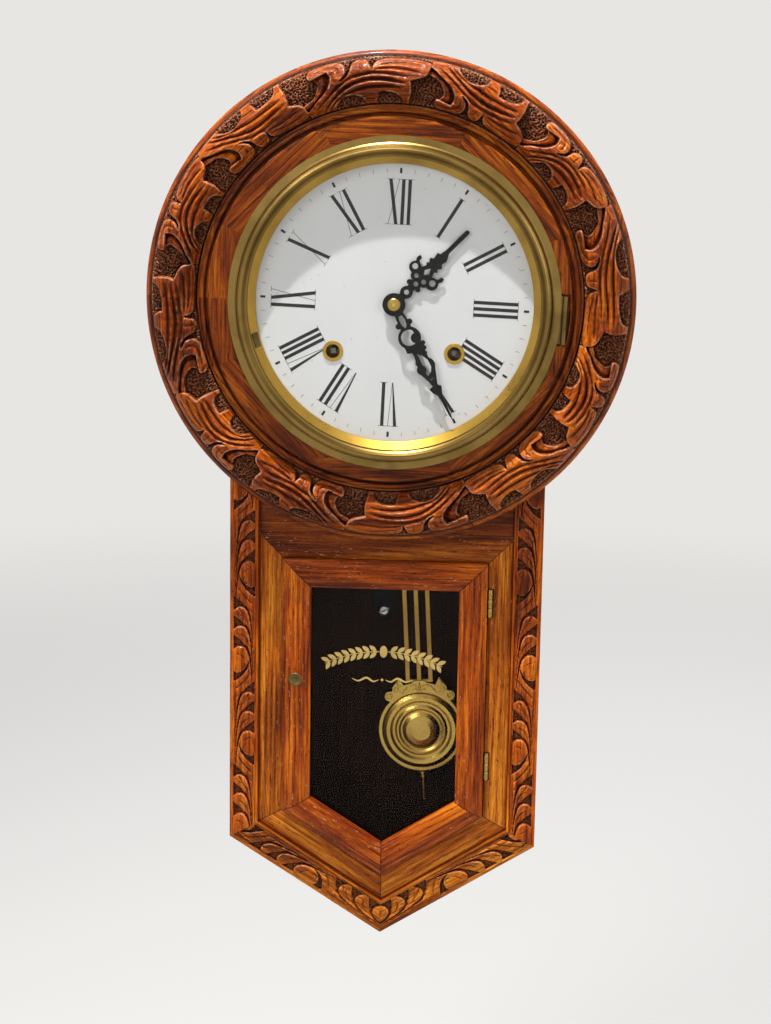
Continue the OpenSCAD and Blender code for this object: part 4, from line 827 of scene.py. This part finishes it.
def ring_field(radii, angles):
    """Height of the carved roll over the case front, and its marks, over radii and angles in degrees."""
    xs, ys, reach_t, cut_t, lift_t, back_t, hollow_t = leaf_template()
    r, a = np.meshgrid(radii, angles, indexing="ij")
    arc = np.radians(a) * RING_MID
    px, py = r * np.cos(np.radians(a)), r * np.sin(np.radians(a))
    wobble_r = 0.5 * ripple(px, py, 3, 60)
    wobble_a = 0.7 * ripple(px, py, 5, 80)
    reach = np.full(r.shape, OUTSIDE)
    back = np.full(r.shape, OUTSIDE)
    cut, lift, hollow = np.zeros(r.shape), np.zeros(r.shape), np.zeros(r.shape)
    for k, start in enumerate(LEAF_STARTS):
        long = (LEAF_STARTS[(k + 1) % 12] - start) % 360
        turn = (a - start + 60) % 360 - 60
        here = (turn > -0.24 * long) & (turn < 1.24 * long)
        x = np.where(here, turn / long * LEAF_LONG, 0) + wobble_a
        y = (r - RING_MID) * (1 if k % 2 else -1) + wobble_r
        own = np.where(here, sample(xs, ys, reach_t, x, y), OUTSIDE)
        use = own > reach
        cut = np.where(use, sample(xs, ys, cut_t, x, y), cut)
        lift = np.where(use, sample(xs, ys, lift_t, x, y), lift)
        reach = np.maximum(reach, own)
        own = np.where(here, sample(xs, ys, back_t, x, y), OUTSIDE)
        hollow = np.where(own > back, sample(xs, ys, hollow_t, x, y), hollow)
        back = np.maximum(back, own)
    round_part = np.clip(1 - ((r - ROLL_MID) / ROLL_HALF) ** 2, 0, 1) ** 0.5
    roll = ROLL_FOOT + (ROLL_TOP - ROLL_FOOT) * round_part
    face = roll - 1.2 * round_part
    leaf = face - np.minimum(cut, 0.3 + 6.0 * round_part)
    leaf = np.minimum(leaf + lift * (0.5 + 0.3 * round_part), ROLL_TOP)
    leaf += 0.12 * ripple(arc, r, 17, 7) + 0.05 * ripple(arc * 0.3, r, 19, 2.4)
    ground = ROLL_FOOT + 0.9 + 8.0 * round_part**0.8
    dents = punched(arc, r, 2.2, 3.0)
    ground += 0.3 * ripple(arc, r, 11, 5.5) - 1.8 * dents * np.clip(round_part * 2.2, 0.25, 1)
    low = np.maximum(face - hollow * (0.3 + 0.7 * round_part), ground)
    bed = step(back + 0.5)
    under = ground * (1 - bed) + low * bed
    wall = step(reach / WALL + 0.5)
    height = np.minimum(roll, under) * (1 - wall) + np.minimum(leaf, ROLL_TOP) * wall
    return height, (1 - wall) * (1 - bed)


# Columns of the mesh in one block, and the two heights of the plain band over the case's front
RING_COLS = 300
BAND_FOOT, BAND_FACE = 14.5, 21.5
ANGLES = JOINT_FROM + np.arange(8 * RING_COLS) * (JOINT_STEP / RING_COLS)
RADII = np.concatenate([[206.5, 205.7], np.arange(205.0, 165.4, -0.45), [165.3, BAND_OUT]])
ring_height, ring_ground = ring_field(RADII, ANGLES)
ring_height[0] = 9.6
ring_height[1] = 9.8
ring_height[-1] = BAND_FOOT
ring_ground[[0, 1, -1]] = 0
ring_marks = marks_of(ring_height, ring_ground, 3, 3, True)
# Radius and height of the thin outer lip, from the back
LIP = [(206.0, 0.0), (HEAD_R, 3.5), (HEAD_R, 7.0), (207.5, 9.0)]


def ring_piece(number):
    """One of the eight glued blocks of the carved ring, as a closed mesh."""
    first = number * RING_COLS
    cols = [(first + k) % (8 * RING_COLS) for k in range(RING_COLS + 1)]
    profile = LIP + [(r, None) for r in RADII] + [(BAND_OUT, 0.0)]
    verts, marks = [], []
    for row, (r, h) in enumerate(profile):
        for c in cols:
            a = math.radians(ANGLES[c])
            k = row - len(LIP)
            high = ring_height[k, c] if h is None else h
            verts.append(world(r * math.cos(a), CASE_DEPTH + high, r * math.sin(a)))
            # The plain lip: some rubbed wear with a painted sheen near its outer edge, and a little painted
            # shade all round
            marks.append(ring_marks[k, c] if h is None else (0.25 if 0 < row < 3 else 0, 0.1, 0))
    n, rows = len(cols), len(profile)
    faces = grid_faces(rows, n, rows_close=True)
    faces.append(tuple(i * n for i in range(rows)))
    faces.append(tuple(i * n + n - 1 for i in reversed(range(rows))))
    piece = new_piece(f"ring_carving_{number + 1}", verts, faces, "case", ring_oak)
    for end in piece.data.polygons[-2:]:
        end.use_smooth = False
    paint_marks(piece, np.array(marks))
    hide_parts("head_ring")


for number in range(8):
    ring_piece(number)


# Bed of the bezel's hinge in the band, about the dial's centre: from and to across, middle and half height
HINGE_BED = (134.4, 149.0)
HINGE_Z, HINGE_BED_HALF = -5.0, 21.5
BED_FACE = 19.5


def band_piece():
    """The plain inner band with its bead, bored about the dial's centre, with the hinge's bed."""
    count = 1080
    bead_at, bead, face_from = 160.5, 2.6, 154.4
    top = [(BAND_OUT, 0.0), (BAND_OUT, BAND_FOOT), (163.9, BAND_FOOT)]
    for t in np.radians(range(0, 181, 15)):
        top.append((bead_at + bead * math.cos(t), BAND_FOOT + bead * math.sin(t)))
    top += [(156.9, BAND_FOOT), (156.4, 15.0), (156.0, 18.5), (155.7, 20.2), (155.2, 21.2)]
    top.append((face_from, BAND_FACE))
    shares = [0.06 + 0.08 * k for k in range(12)] + [1.0]
    c, s = math.cos(DIAL_TURN), math.sin(DIAL_TURN)
    verts = []
    for k in range(count):
        a = 2 * math.pi * k / count
        ca, sa = math.cos(a), math.sin(a)
        along = ca * DIAL[0] + sa * DIAL[1]
        bore = along + math.sqrt(along**2 - DIAL[0] ** 2 - DIAL[1] ** 2 + RING_BORE**2)
        column = list(top)
        for share in shares:
            r = face_from + (bore - face_from) * share
            x, z = r * ca - DIAL[0], r * sa - DIAL[1]
            px, pz = x * c - z * s, x * s + z * c
            bed = HINGE_BED[0] < px < HINGE_BED[1] and abs(pz - HINGE_Z) < HINGE_BED_HALF
            column.append((r, BED_FACE if bed else BAND_FACE))
        column.append((bore, 0.0))
        verts += [world(r * ca, CASE_DEPTH + h, r * sa) for r, h in column]
    faces = grid_faces(count, len(column), rows_close=True, cols_close=True)
    piece = new_piece("ring_band", verts, faces, "case", band_oak, sharp=35)
    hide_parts("head_ring")


band_piece()

# Carved strips

# Half a turn of the pattern along a strip, where the carving starts and ends in from the outer edge,
# and the heights of the strip's top, its edges and the ground, from the wall
HALF_TURN = 78.0
CARVE_FROM, CARVE_TO = 3.0, 22.4
STRIP_TOP, STRIP_EDGE, STRIP_LEDGE, STRIP_GROUND = 101.0, 99.6, 99.0, 96.6
# How far a curled leaf sinks away behind its edge, and what the dome's field says away from the dome
SINK_LONG = 18.5
DOME_FOOT = -0.5
# Front edge of one curled leaf: place along the strip at each distance from the leafy border, in mm
EDGE_V = [-1.0, 0.0, 2.0, 5.0, 8.0, 10.5, 12.5, 14.0, 15.2, 16.2, 17.2, 19.5, 21]
EDGE_S = [3.2, 2.2, 0.2, -0.8, -0.4, 1.2, 4.2, 9.0, 15.5, 24.0, 36.0, 70.0, 95]
LEAF_SHIFTS = [0.0, 17.5, 36.0]
# Punched pocket in front of a leaf, measured from its front edge line
POCKET = [(-12.5, -1.5), (3.4, -1.5), (1.4, 1.0), (-0.6, 4.0), (-0.8, 8.0), (0.2, 10.2), (-3.6, 8.6),
          (-7.0, 5.2), (-9.6, 1.4)]
# The big end lobe's dark crescent, and the carver's veins
CRESCENT = [(57.5, -1.5), (69.0, -1.5), (65.5, 3.5), (61.0, 8.5), (55.5, 12.3), (48.5, 14.2),
            (54.0, 11.4), (58.4, 7.0), (59.6, 3.0)]
VEINS = [
    ([(49.0, 8.2), (51.0, 10.4), (54.4, 9.6), (56.0, 6.4)], 1.0, 1.6),
    ([(41.5, 3.0), (43.0, 7.0), (46.0, 10.8)], 1.0, 1.3),
    ([(-14.0, 17.4), (0.0, 18.0), (16.0, 17.6), (34.0, 16.6), (50.0, 15.2), (60.0, 12.4)], 1.0, 1.0),
    ([(58.0, 16.0), (65.0, 11.5), (71.0, 6.0), (75.0, 1.5)], 1.2, 1.8),
    ([(64.0, 17.6), (71.5, 12.6), (78.5, 6.5), (83.0, 1.5)], 1.2, 1.8),
    ([(71.0, 18.0), (79.5, 13.6), (87.5, 8.0), (93.0, 3.0)], 1.1, 1.6),
]
for at in (0.0, 18.0):
    VEINS.append(([(at + 5.0, 3.0), (at + 7.0, 8.0), (at + 11.5, 11.8), (at + 20.0, 14.2)], 1.3, 2.0))
    VEINS.append(([(at + 9.5, 3.5), (at + 11.5, 7.5), (at + 15.5, 10.6)], 1.0, 1.4))
# The plain bead along the inner edge, and the groove beside it
BEAD_MID, BEAD_HALF, BEAD_FOOT, BEAD_HIGH = 24.3, 1.15, 98.7, 1.6
GROOVE_MID, GROOVE_HALF, GROOVE_END = 22.9, 0.7, 23.2


def strip_template():
    """Depth cut, dome and pocket mask of one half turn, along and away from the leafy border, in mm."""
    ss = np.arange(-30.0, 120.0, CELL)
    vs = np.arange(-1.0, 21.01, CELL)
    s, v = np.meshgrid(ss, vs)
    cut, deep = np.zeros(s.shape), np.zeros(s.shape)
    phase = s - np.interp(v, EDGE_V, EDGE_S)
    thin = np.interp(v, [0, 10, 13, 15.5, 17.2, 18.8], [1, 1, 0.95, 0.8, 0.45, 0])
    for k, shift in enumerate(LEAF_SHIFTS):
        d = phase - shift
        share = np.clip((d + SINK_LONG) / SINK_LONG, 0, 1)
        sink = 2.9 * share**1.3 * step(-d / 0.7 + 0.5) * (d > -SINK_LONG)
        cut = np.maximum(cut, sink * thin)
        wide = np.interp(v, [0, 10, 13, 16], [1.2, 1.6, 3.4, 7.0])
        groove = 2.0 * np.clip(1 - np.abs(d + 0.7 * wide) / wide, 0, 1)
        cut = np.maximum(cut, (sink * thin + groove * thin) * (groove > 0))
        outlines = [np.array([(a + shift, b) for a, b in POCKET], float)]
        if k == 2:
            outlines.append(np.array(CRESCENT, float))
        for poly in outlines:
            wall = step(reach_into(s, v, poly) / WALL + 0.5)
            cut = np.maximum(cut, wall * 4.6)
            deep = np.maximum(deep, wall)
    for points, half, most in VEINS:
        d, along = line_distance(s, v, spline(points))
        taper = np.sin(np.clip(along, 0, 1) * math.pi) ** 0.5
        cut = np.maximum(cut, 1.3 * most * taper * np.clip(1 - d / (half * 1.4), 0, 1))
    rho = ((s - 48) / 11.5) ** 2 + ((v - 6.2) / 7.5) ** 2
    dome = 1.8 * np.clip(1 - rho, 0, 1) ** 0.7 + DOME_FOOT
    return ss, vs, cut, dome, deep


STRIP_CUTS = strip_template()


def strip_height(s, n, offset, seed):
    """Height from the wall at s along the strip and n in from its outer edge, and the ground mask."""
    ss, vs, *grids = STRIP_CUTS
    s = s + 0.6 * ripple(s, n, seed, 45)
    rests = (0, DOME_FOOT, 0)
    found = [np.full(s.shape, float(rest)) for rest in rests]
    for start, inner in ((0.0, True), (HALF_TURN, False)):
        v = CARVE_TO - n if inner else n - CARVE_FROM
        for turn in (0.0, 2 * HALF_TURN):
            t = (s - offset - start) % (2 * HALF_TURN) - turn
            on = (t > -29) & (t < 119)
            at = np.where(on, t, 0)
            for i, (grid, rest) in enumerate(zip(grids, rests)):
                found[i] = np.maximum(found[i], np.where(on, sample(ss, vs, grid, at, v), rest))
    cut, dome, deep = found
    span = np.clip((n - CARVE_FROM) / (CARVE_TO - CARVE_FROM), 0, 1)
    crown = np.sqrt(np.clip(1 - (2 * span - 1) ** 2, 0, 1))
    zone = step((n - CARVE_FROM) / 0.7) * step((CARVE_TO - n) / 0.7)
    body = STRIP_EDGE - 0.2 + (STRIP_TOP - STRIP_EDGE + 0.2) * crown
    carve = np.minimum(body - cut + dome * 0.7, STRIP_TOP)
    floor_high = STRIP_GROUND + 0.5 - 0.8 * punched(s, n, 1.6, seed)
    carve = np.maximum(carve, floor_high * deep + STRIP_GROUND * (1 - deep))
    fillet = STRIP_EDGE - 0.9 * np.clip(1 - np.abs(n - GROOVE_MID) / GROOVE_HALF, 0, 1)
    bead = np.sqrt(np.clip(1 - ((n - BEAD_MID) / BEAD_HALF) ** 2, 0, 1))
    fillet = np.where(n > GROOVE_END, BEAD_FOOT + BEAD_HIGH * bead, fillet)
    fillet = np.where(n < CARVE_FROM, STRIP_LEDGE + 0.3 * np.clip(n, 0, 1), fillet)
    height = carve * zone + fillet * (1 - zone)
    height += (0.1 * ripple(s, n, seed + 9, 9) + 0.06 * ripple(s * 0.3, n, seed + 4, 2.2)) * zone
    return height, deep * zone


def strip_piece(name, ends, count, offset, seed, node, material, side):
    """One carved strip. ends(n) gives its two end points in x and z at n in from the outer edge."""
    fine = np.arange(23.1, STRIP_W - 0.05, 0.23)
    ns = np.concatenate([[0.0], np.arange(0.3, GROOVE_MID, 0.5), fine, [STRIP_W]])
    t = np.linspace(0, 1, count)
    x, z, s = np.zeros((3, len(ns), count))
    for i, n in enumerate(ns):
        (ax, az), (bx, bz), s0 = ends(n)
        x[i], z[i] = ax + (bx - ax) * t, az + (bz - az) * t
        s[i] = s0 + math.hypot(bx - ax, bz - az) * t
    n = np.repeat(ns[:, None], count, axis=1)
    height, ground = strip_height(s, n, offset, seed)
    marks = marks_of(height, ground, 2, 2, False)
    verts, shown = [], []
    for i in range(len(ns)):
        for k in range(count):
            verts.append(world(side * x[i, k], height[i, k], z[i, k]))
            shown.append(marks[i, k])
    top = len(verts)
    edge = [(0, k) for k in range(count)] + [(i, count - 1) for i in range(1, len(ns))]
    edge += [(len(ns) - 1, k) for k in reversed(range(count - 1))]
    edge += [(i, 0) for i in reversed(range(1, len(ns) - 1))]
    for i, k in edge:
        verts.append(world(side * x[i, k], CASE_DEPTH, z[i, k]))
        # The strip's sides and back: a little painted shade
        shown.append((0, 0.2, 0))
    faces = grid_faces(len(ns), count)
    for m, (i, k) in enumerate(edge):
        i2, k2 = edge[(m + 1) % len(edge)]
        faces.append((i * count + k, i2 * count + k2, top + (m + 1) % len(edge), top + m))
    faces.append(tuple(top + m for m in range(len(edge))))
    piece = new_piece(name, verts, faces, "case", material, sharp=80)
    paint_marks(piece, np.array(shown))
    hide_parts(node)


def side_ends(n):
    """Ends of a side strip, which starts under the head ring. Its pattern counts from one height."""
    x = HALF_W - n
    top = -math.sqrt((HEAD_R + 0.3) ** 2 - x**2)
    return (x, top), (x, CORNER_Z + CORNER_RISE * n), -top - 165.0


def low_ends(n):
    """Ends of a bottom strip, from the corner to just short of the middle joint."""
    gap = 0.05
    far = (HALF_W - n, CORNER_Z + CORNER_RISE * n)
    near = (gap, CORNER_Z + SEC * n - (HALF_W - gap) * math.tan(SLOPE))
    return far, near, n * 0.3


for side, label in ((1, "right"), (-1, "left")):
    strip_piece(
        f"side_strip_{label}", side_ends, 560, 33.0, 21 + side, "side_carved_strips", strip_oak, side
    )
    strip_piece(
        f"low_strip_{label}", low_ends, 300, -50.0, 31 + side, "bottom_carved_strips", low_strip_oak, side
    )

# Flat figures on the dial and the glass


def flat_piece(name, shapes, place, low, high, body, slot, material):
    """Thin plates: each shape is a simple polygon, placed by place(x, y) -> (x, z), between two depths."""
    verts, faces = [], []
    for shape in shapes:
        pts = [place(*p) for p in shape]
        base, n = len(verts), len(pts)
        verts += [world(x, low, z) for x, z in pts] + [world(x, high, z) for x, z in pts]
        faces.append([base + i for i in range(n)])
        faces.append([base + n + i for i in reversed(range(n))])
        for i in range(n):
            j = (i + 1) % n
            faces.append([base + i, base + n + i, base + n + j, base + j])
    new_piece(name, verts, faces, body, material, smooth=False)


def on_dial(a, b):
    c, s = math.cos(DIAL_TURN), math.sin(DIAL_TURN)
    return DIAL[0] + a * c + b * s, DIAL[1] - a * s + b * c


NUMERALS = "XII I II III IIII V VI VII VIII IX X XI".split()
# Radii of the figures' feet and heads, half widths of a thick stroke, a thin one and a serif, and the
# ink's thickness
FOOT, HEAD = 67.6, 105.4
STEM, HAIR, SERIF = 1.45, 0.2, 0.17
INK = 0.08
# Middle of the flourish on the door glass, and the two faces of its gilding, in depth
FLOURISH_X = -2.0
GILT_DEPTHS = (92.42, 92.48)


def block(left, right, low, high):
    return [(left, low), (right, low), (right, high), (left, high)]


def stroke(x0, x1, wide_low, wide_high):
    """A stroke from the foot at x0 to the head at x1."""
    return [(x0 - wide_low, FOOT), (x0 + wide_low, FOOT), (x1 + wide_high, HEAD), (x1 - wide_high, HEAD)]


def numeral(text):
    """Strokes and serifs of one number, centred, across and up from the dial's centre."""
    pitch = {"IIII": 4.9, "VIII": 4.9}.get(text, 5.4)
    strokes, feet, heads, x = [], [], [], 0.0
    for i, letter in enumerate(text):
        if i:
            x += {"II": pitch, "VI": 11.2, "XI": 11.0, "IX": 5.8}[text[i - 1] + letter]
        if letter == "I":
            strokes.append(stroke(x, x, STEM, STEM))
            feet.append((x, 3.2))
            heads.append((x, 3.2))
        elif letter == "V":
            strokes.append(stroke(x + 3.5, x, 0.35, STEM))
            strokes.append(stroke(x + 3.8, x + 6.2, HAIR, HAIR))
            heads += [(x, 3.0), (x + 6.2, 2.2)]
        else:
            strokes.append(stroke(x + 6.0, x, STEM, STEM))
            strokes.append(stroke(x - 0.7, x + 7.5, HAIR, HAIR))
            feet += [(x + 6.0, 3.0), (x - 0.7, 2.4)]
            heads += [(x, 3.0), (x + 7.5, 2.2)]
    for ends, y in ((feet, FOOT), (heads, HEAD)):
        for at, half in ends:
            strokes.append(block(at - half, at + half, y - SERIF, y + SERIF))
    all_x = [px for shape in strokes for px, _ in shape]
    mid = (min(all_x) + max(all_x)) / 2
    return [[(px - mid, py) for px, py in shape] for shape in strokes]


def turned(shape, hour):
    a = hour * math.pi / 6
    return [(x * math.cos(a) + y * math.sin(a), y * math.cos(a) - x * math.sin(a)) for x, y in shape]


figures = [turned(shape, h) for h, text in enumerate(NUMERALS) for shape in numeral(text)]
ticks = []
for minute in range(60):
    half, low, high = (1.0, 110.4, 114.8) if minute % 5 == 0 else (0.16, 110.8, 114.2)
    ticks.append(turned(block(-half, half, low, high), minute / 5))
for name, shapes in (("dial_numerals", figures), ("dial_minutes", ticks)):
    flat_piece(name, shapes, on_dial, DIAL_FACE, DIAL_FACE + INK, "case", "dial_white", dial_ink)


def leaf_shape(x, y, turn, long, wide):
    """A small pointed leaf."""
    pts = [(k / 8 * long, wide * math.sin(math.pi * k / 8) ** 0.9) for k in range(9)]
    pts += [(px, -py) for px, py in reversed(pts[1:-1])]
    c, s = math.cos(turn), math.sin(turn)
    return [(x + px * c - py * s, y + px * s + py * c) for px, py in pts]


def ribbon(line, widths):
    """A stroke of changing width along a curve."""
    line = np.asarray(line)
    ahead = headings(line)
    side = np.stack([-ahead[:, 1], ahead[:, 0]], axis=1) * (np.asarray(widths) / 2)[:, None]
    return [tuple(p) for p in line + side] + [tuple(p) for p in (line - side)[::-1]]


def ellipse(x, z, half_x, half_z, count):
    turns = np.linspace(0, 2 * math.pi, count)[:-1]
    return [(x + half_x * math.cos(q), z + half_z * math.sin(q)) for q in turns]


def gilt_shapes():
    """A generic arched leaf garland over a small flourish."""
    shapes = []
    cx, cz, radius = -1.0, -432.0, 118.0
    for k in range(-8, 9):
        a = math.pi / 2 - k * 0.052
        x, z = cx + radius * math.cos(a), cz + radius * math.sin(a)
        if k == 0:
            shapes.append(ellipse(x, z, 3.4, 5.4, 24))
            continue
        forward = a - math.pi / 2 if k > 0 else a + math.pi / 2
        for lean in (0.75, -0.75):
            shapes.append(leaf_shape(x, z, forward + lean, 8.6, 1.9))
    for sign in (1, -1):
        arc = [math.pi / 2 - sign * q for q in np.linspace(0.035, 0.46, 40)]
        line = [(cx + radius * math.cos(q), cz + radius * math.sin(q)) for q in arc]
        shapes.append(ribbon(line, np.linspace(0.9, 0.5, 40)))
        line = [(3.0, -340.0), (8.0, -341.6), (14.0, -338.4), (21.0, -341.4), (27.0, -339.4)]
        wave = spline([(FLOURISH_X + sign * across, z) for across, z in line], 10)
        shapes.append(ribbon(wave, 0.5 + 1.3 * np.sin(np.linspace(0, math.pi, len(wave)))))
    shapes.append(ellipse(FLOURISH_X, -340.0, 1.2, 1.2, 16))
    return shapes


flat_piece(
    "glass_ornament", gilt_shapes(), lambda x, z: (x, z), *GILT_DEPTHS, "door", "door_glass", gilt
)

# Cast relief on the bob's crown

# Curls of each side: out and up from the bob's middle, widest turn, two angles, points, thickness
CURLS = [(27.5, 33.0, 3.7, -1.2, 6.6, 16, 0.8), (20.6, 39.8, 3.6, -2.6, 4.6, 14, 0.75)]


def centre_of(points):
    return (points.min(axis=0) + points.max(axis=0)) / 2


def node_points(name):
    mesh = NODES[name].data
    flat = np.zeros(len(mesh.vertices) * 3)
    mesh.vertices.foreach_get("co", flat)
    return flat.reshape(-1, 3) / MM


def crown_relief():
    """Scrolls and a small shell standing on the flat crown, in the plane of the hanging bob."""
    rod = node_points("pendulum_rod")
    top = centre_of(rod[rod[:, 2] > rod[:, 2].max() - 2])
    foot = centre_of(rod[rod[:, 2] < rod[:, 2].min() + 2])
    up = (top - foot)[[0, 2]]
    up /= np.hypot(*up)
    across = np.array([up[1], -up[0]])
    bob = centre_of(node_points("bob"))[[0, 2]]
    face = -node_points("bob_crown")[:, 1].min()
    lines = []
    for s in (1, -1):
        for at, high, widest, first, last, count, thick in CURLS:
            sweep = zip(np.linspace(widest, 0.6, count), np.linspace(first, last, count))
            lines.append(([(s * (at + q * math.cos(w)), high + q * math.sin(w)) for q, w in sweep], thick))
        lines.append(([(s * 17.0, 42.4), (s * 20.4, 44.4), (s * 19.8, 47.2), (s * 18.5, 49.2)], 0.8))
        sweep = [(s * 1.5, 41.5), (s * 5, 43.4), (s * 9.5, 42.6), (s * 13, 39.6), (s * 16, 35.6)]
        lines.append((sweep, 0.85))
        lines.append(([(s * 1.2, 38.0), (s * 3.6, 40.0), (s * 5.6, 39.4)], 0.8))
    lines.append(([(0, 37.8), (0, 42.0), (0, 46.2)], 1.1))
    verts, faces = [], []
    for points, thick in lines:
        line = spline(points, 5)
        ahead = headings(line)
        n = len(line)
        base = len(verts)
        for k in range(n):
            r = thick * (0.35 + 0.65 * math.sin(math.pi * k / (n - 1)) ** 0.5)
            for w in np.linspace(0, 2 * math.pi, 9)[:-1]:
                u, v = line[k] + r * math.cos(w) * np.array([-ahead[k, 1], ahead[k, 0]])
                x, z = bob + across * u + up * v
                verts.append(world(x, face - 0.15 + r * math.sin(w), z))
        faces += grid_faces(n, 8, base, cols_close=True)
        faces.append(tuple(base + q for q in range(8)))
        faces.append(tuple(base + (n - 1) * 8 + q for q in reversed(range(8))))
    new_piece("crown_relief", verts, faces, "bob", bob_brass)


crown_relief()

# Hinge knuckles of the door

KNUCKLE = 8.0
PIN_AT = next(joint["pos_m"] for joint in frame["joints"] if joint["name"] == "door_swing")
# Radius and height of one turned knuckle, from its foot to its head, and of the cap over the last one
KNUCKLE_LINE = [(2.1, 0.15), (2.32, 0.15), (2.42, 0.5), (2.5, 1.1), (2.32, 1.5), (2.5, 1.9), (2.62, 2.9)]
CAP_LINE = [(2.1, 0.0), (2.35, 0.0), (2.2, 0.4), (1.5, 0.72), (0.0, 0.85)]


def turned_up(profile, foot, sides=28):
    """Points and faces of a closed ring turned about the door's pin. The profile is radius and height."""
    x, depth = PIN_AT[0] / MM, -PIN_AT[1] / MM
    turns = np.linspace(0, 2 * math.pi, sides + 1)[:-1]
    verts = [world(x + r * math.cos(w), depth + r * math.sin(w), foot + h) for r, h in profile for w in turns]
    return verts, grid_faces(len(profile), sides, rows_close=True, cols_close=True)


def hinge_barrels(name, body, numbers):
    """The knuckles that one side of both hinges carries, and the caps on the outer ones."""
    heights = node_points("door_hinge_leaves")[:, 2]
    middle = (heights.min() + heights.max()) / 2
    verts, faces = [], []
    for part in (heights[heights > middle], heights[heights < middle]):
        centre = (part.min() + part.max()) / 2
        for number in numbers:
            mirrored = [(r, KNUCKLE - h) for r, h in reversed(KNUCKLE_LINE)]
            solids = [(KNUCKLE_LINE + mirrored, centre + (number - 0.5) * KNUCKLE)]
            if number:
                cap = [(max(r, 0.05), number * h) for r, h in CAP_LINE] + [(0.05, 0.0)]
                solids.append((cap, centre + 1.5 * number * KNUCKLE))
            for profile, foot in solids:
                more, shapes = turned_up(profile, foot)
                faces += [tuple(len(verts) + i for i in shape) for shape in shapes]
                verts += more
    new_piece(name, verts, faces, body, hinge_brass, sharp=40)


hinge_barrels("hinge_knuckles_frame", "case", (-1, 1))
hinge_barrels("hinge_knuckles_door", "door", (0,))

# Stage, lamps and camera

PALE = (0.80, 0.79, 0.77, 1.0)


def floor(z=-0.86, half=7.0):
    """A pale floor that keeps the clock's shadow and fades into the background."""
    t = Tree("floor_pale")
    x, y, _ = t.split(t.place())
    fade = t.range(t.radius(x, y), 0.7, 3.2, smooth=True)
    lit = t.add("BsdfDiffuse", {"Color": (0.56, 0.555, 0.545, 1)})
    plain = t.add("Emission", {"Color": PALE, "Strength": 1.0})
    t.finish(t.add("MixShader", {0: t.times(fade, t.seen_straight()), 1: lit, 2: plain}))
    mesh = bpy.data.meshes.new("floor")
    corners = [(-half, -half, z), (half, -half, z), (half, half, z), (-half, half, z)]
    mesh.from_pydata(corners, [], [(0, 1, 2, 3)])
    mesh.materials.append(t.material)
    piece = bpy.data.objects.new("floor", mesh)
    bpy.context.scene.collection.objects.link(piece)
    piece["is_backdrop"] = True


floor()
scene = bpy.context.scene
scene.view_settings.view_transform = "Standard"
scene.world = bpy.data.worlds.new("studio")
sky = Tree("studio", scene.world)
soft = sky.add("Background", {"Color": (0.95, 0.97, 1.0, 1), "Strength": 0.34})
pale = sky.add("Background", {"Color": PALE, "Strength": 1.0})
sky.finish(sky.add("MixShader", {0: sky.seen_straight(), 1: soft, 2: pale}))


def lamp(name, place, aim, size, watts, tint=(1, 1, 1)):
    """A flat lamp that looks at a point, in metres."""
    data = bpy.data.lights.new(name, "AREA")
    data.shape = "RECTANGLE"
    data.size, data.size_y = size
    data.energy = watts
    data.color = tint
    obj = bpy.data.objects.new(name, data)
    obj.location = place
    obj.rotation_euler = (Vector(aim) - Vector(place)).to_track_quat("-Z", "Y").to_euler()
    scene.collection.objects.link(obj)


lamp("key", (-1.5, -1.9, 1.5), (0, 0, -0.1), (0.9, 0.9), 24, (1, 0.985, 0.96))
lamp("fill", (1.9, -1.7, 0.5), (0, 0, -0.15), (1.2, 1.2), 9, (0.97, 0.985, 1))
lamp("top", (-0.25, -0.485, 1.9), (0, -0.1, 0), (0.04, 0.03), 74, (1, 0.99, 0.97))
lamp("back", (0.6, 2.0, 0.9), (0, 0, -0.1), (1.6, 1.6), 30)

# The photo's camera: place in metres, angles in degrees, focal length in pixels of a picture this tall, and
# the sensor in mm
EYE = (0.11505, -2.0006, 0.2108)
YAW, PITCH, ROLL = math.radians(-3.49), math.radians(-11.76), math.radians(0.93)
FOCAL, TALL, SENSOR = 2226.75, 1024, 36

level = math.cos(PITCH)
ahead = Vector((math.sin(YAW) * level, math.cos(YAW) * level, math.sin(PITCH)))
right = Vector((math.cos(YAW), -math.sin(YAW), 0))
up = right.cross(ahead)
right, up = (
    right * math.cos(ROLL) + up * math.sin(ROLL),
    up * math.cos(ROLL) - right * math.sin(ROLL),
)
eye = bpy.data.cameras.new("camera")
eye.sensor_width = SENSOR
eye.lens = FOCAL / TALL * SENSOR
eye.clip_end = 30
camera = bpy.data.objects.new("camera", eye)
turn = Matrix((right, up, -ahead)).transposed()
camera.matrix_world = Matrix.Translation(EYE) @ turn.to_4x4()
scene.collection.objects.link(camera)
scene.camera = camera


def plain(box):
    return [[float(v) for v in corner] for corner in box]


{"cad": plain(cad_box), "visual": plain(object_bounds())}
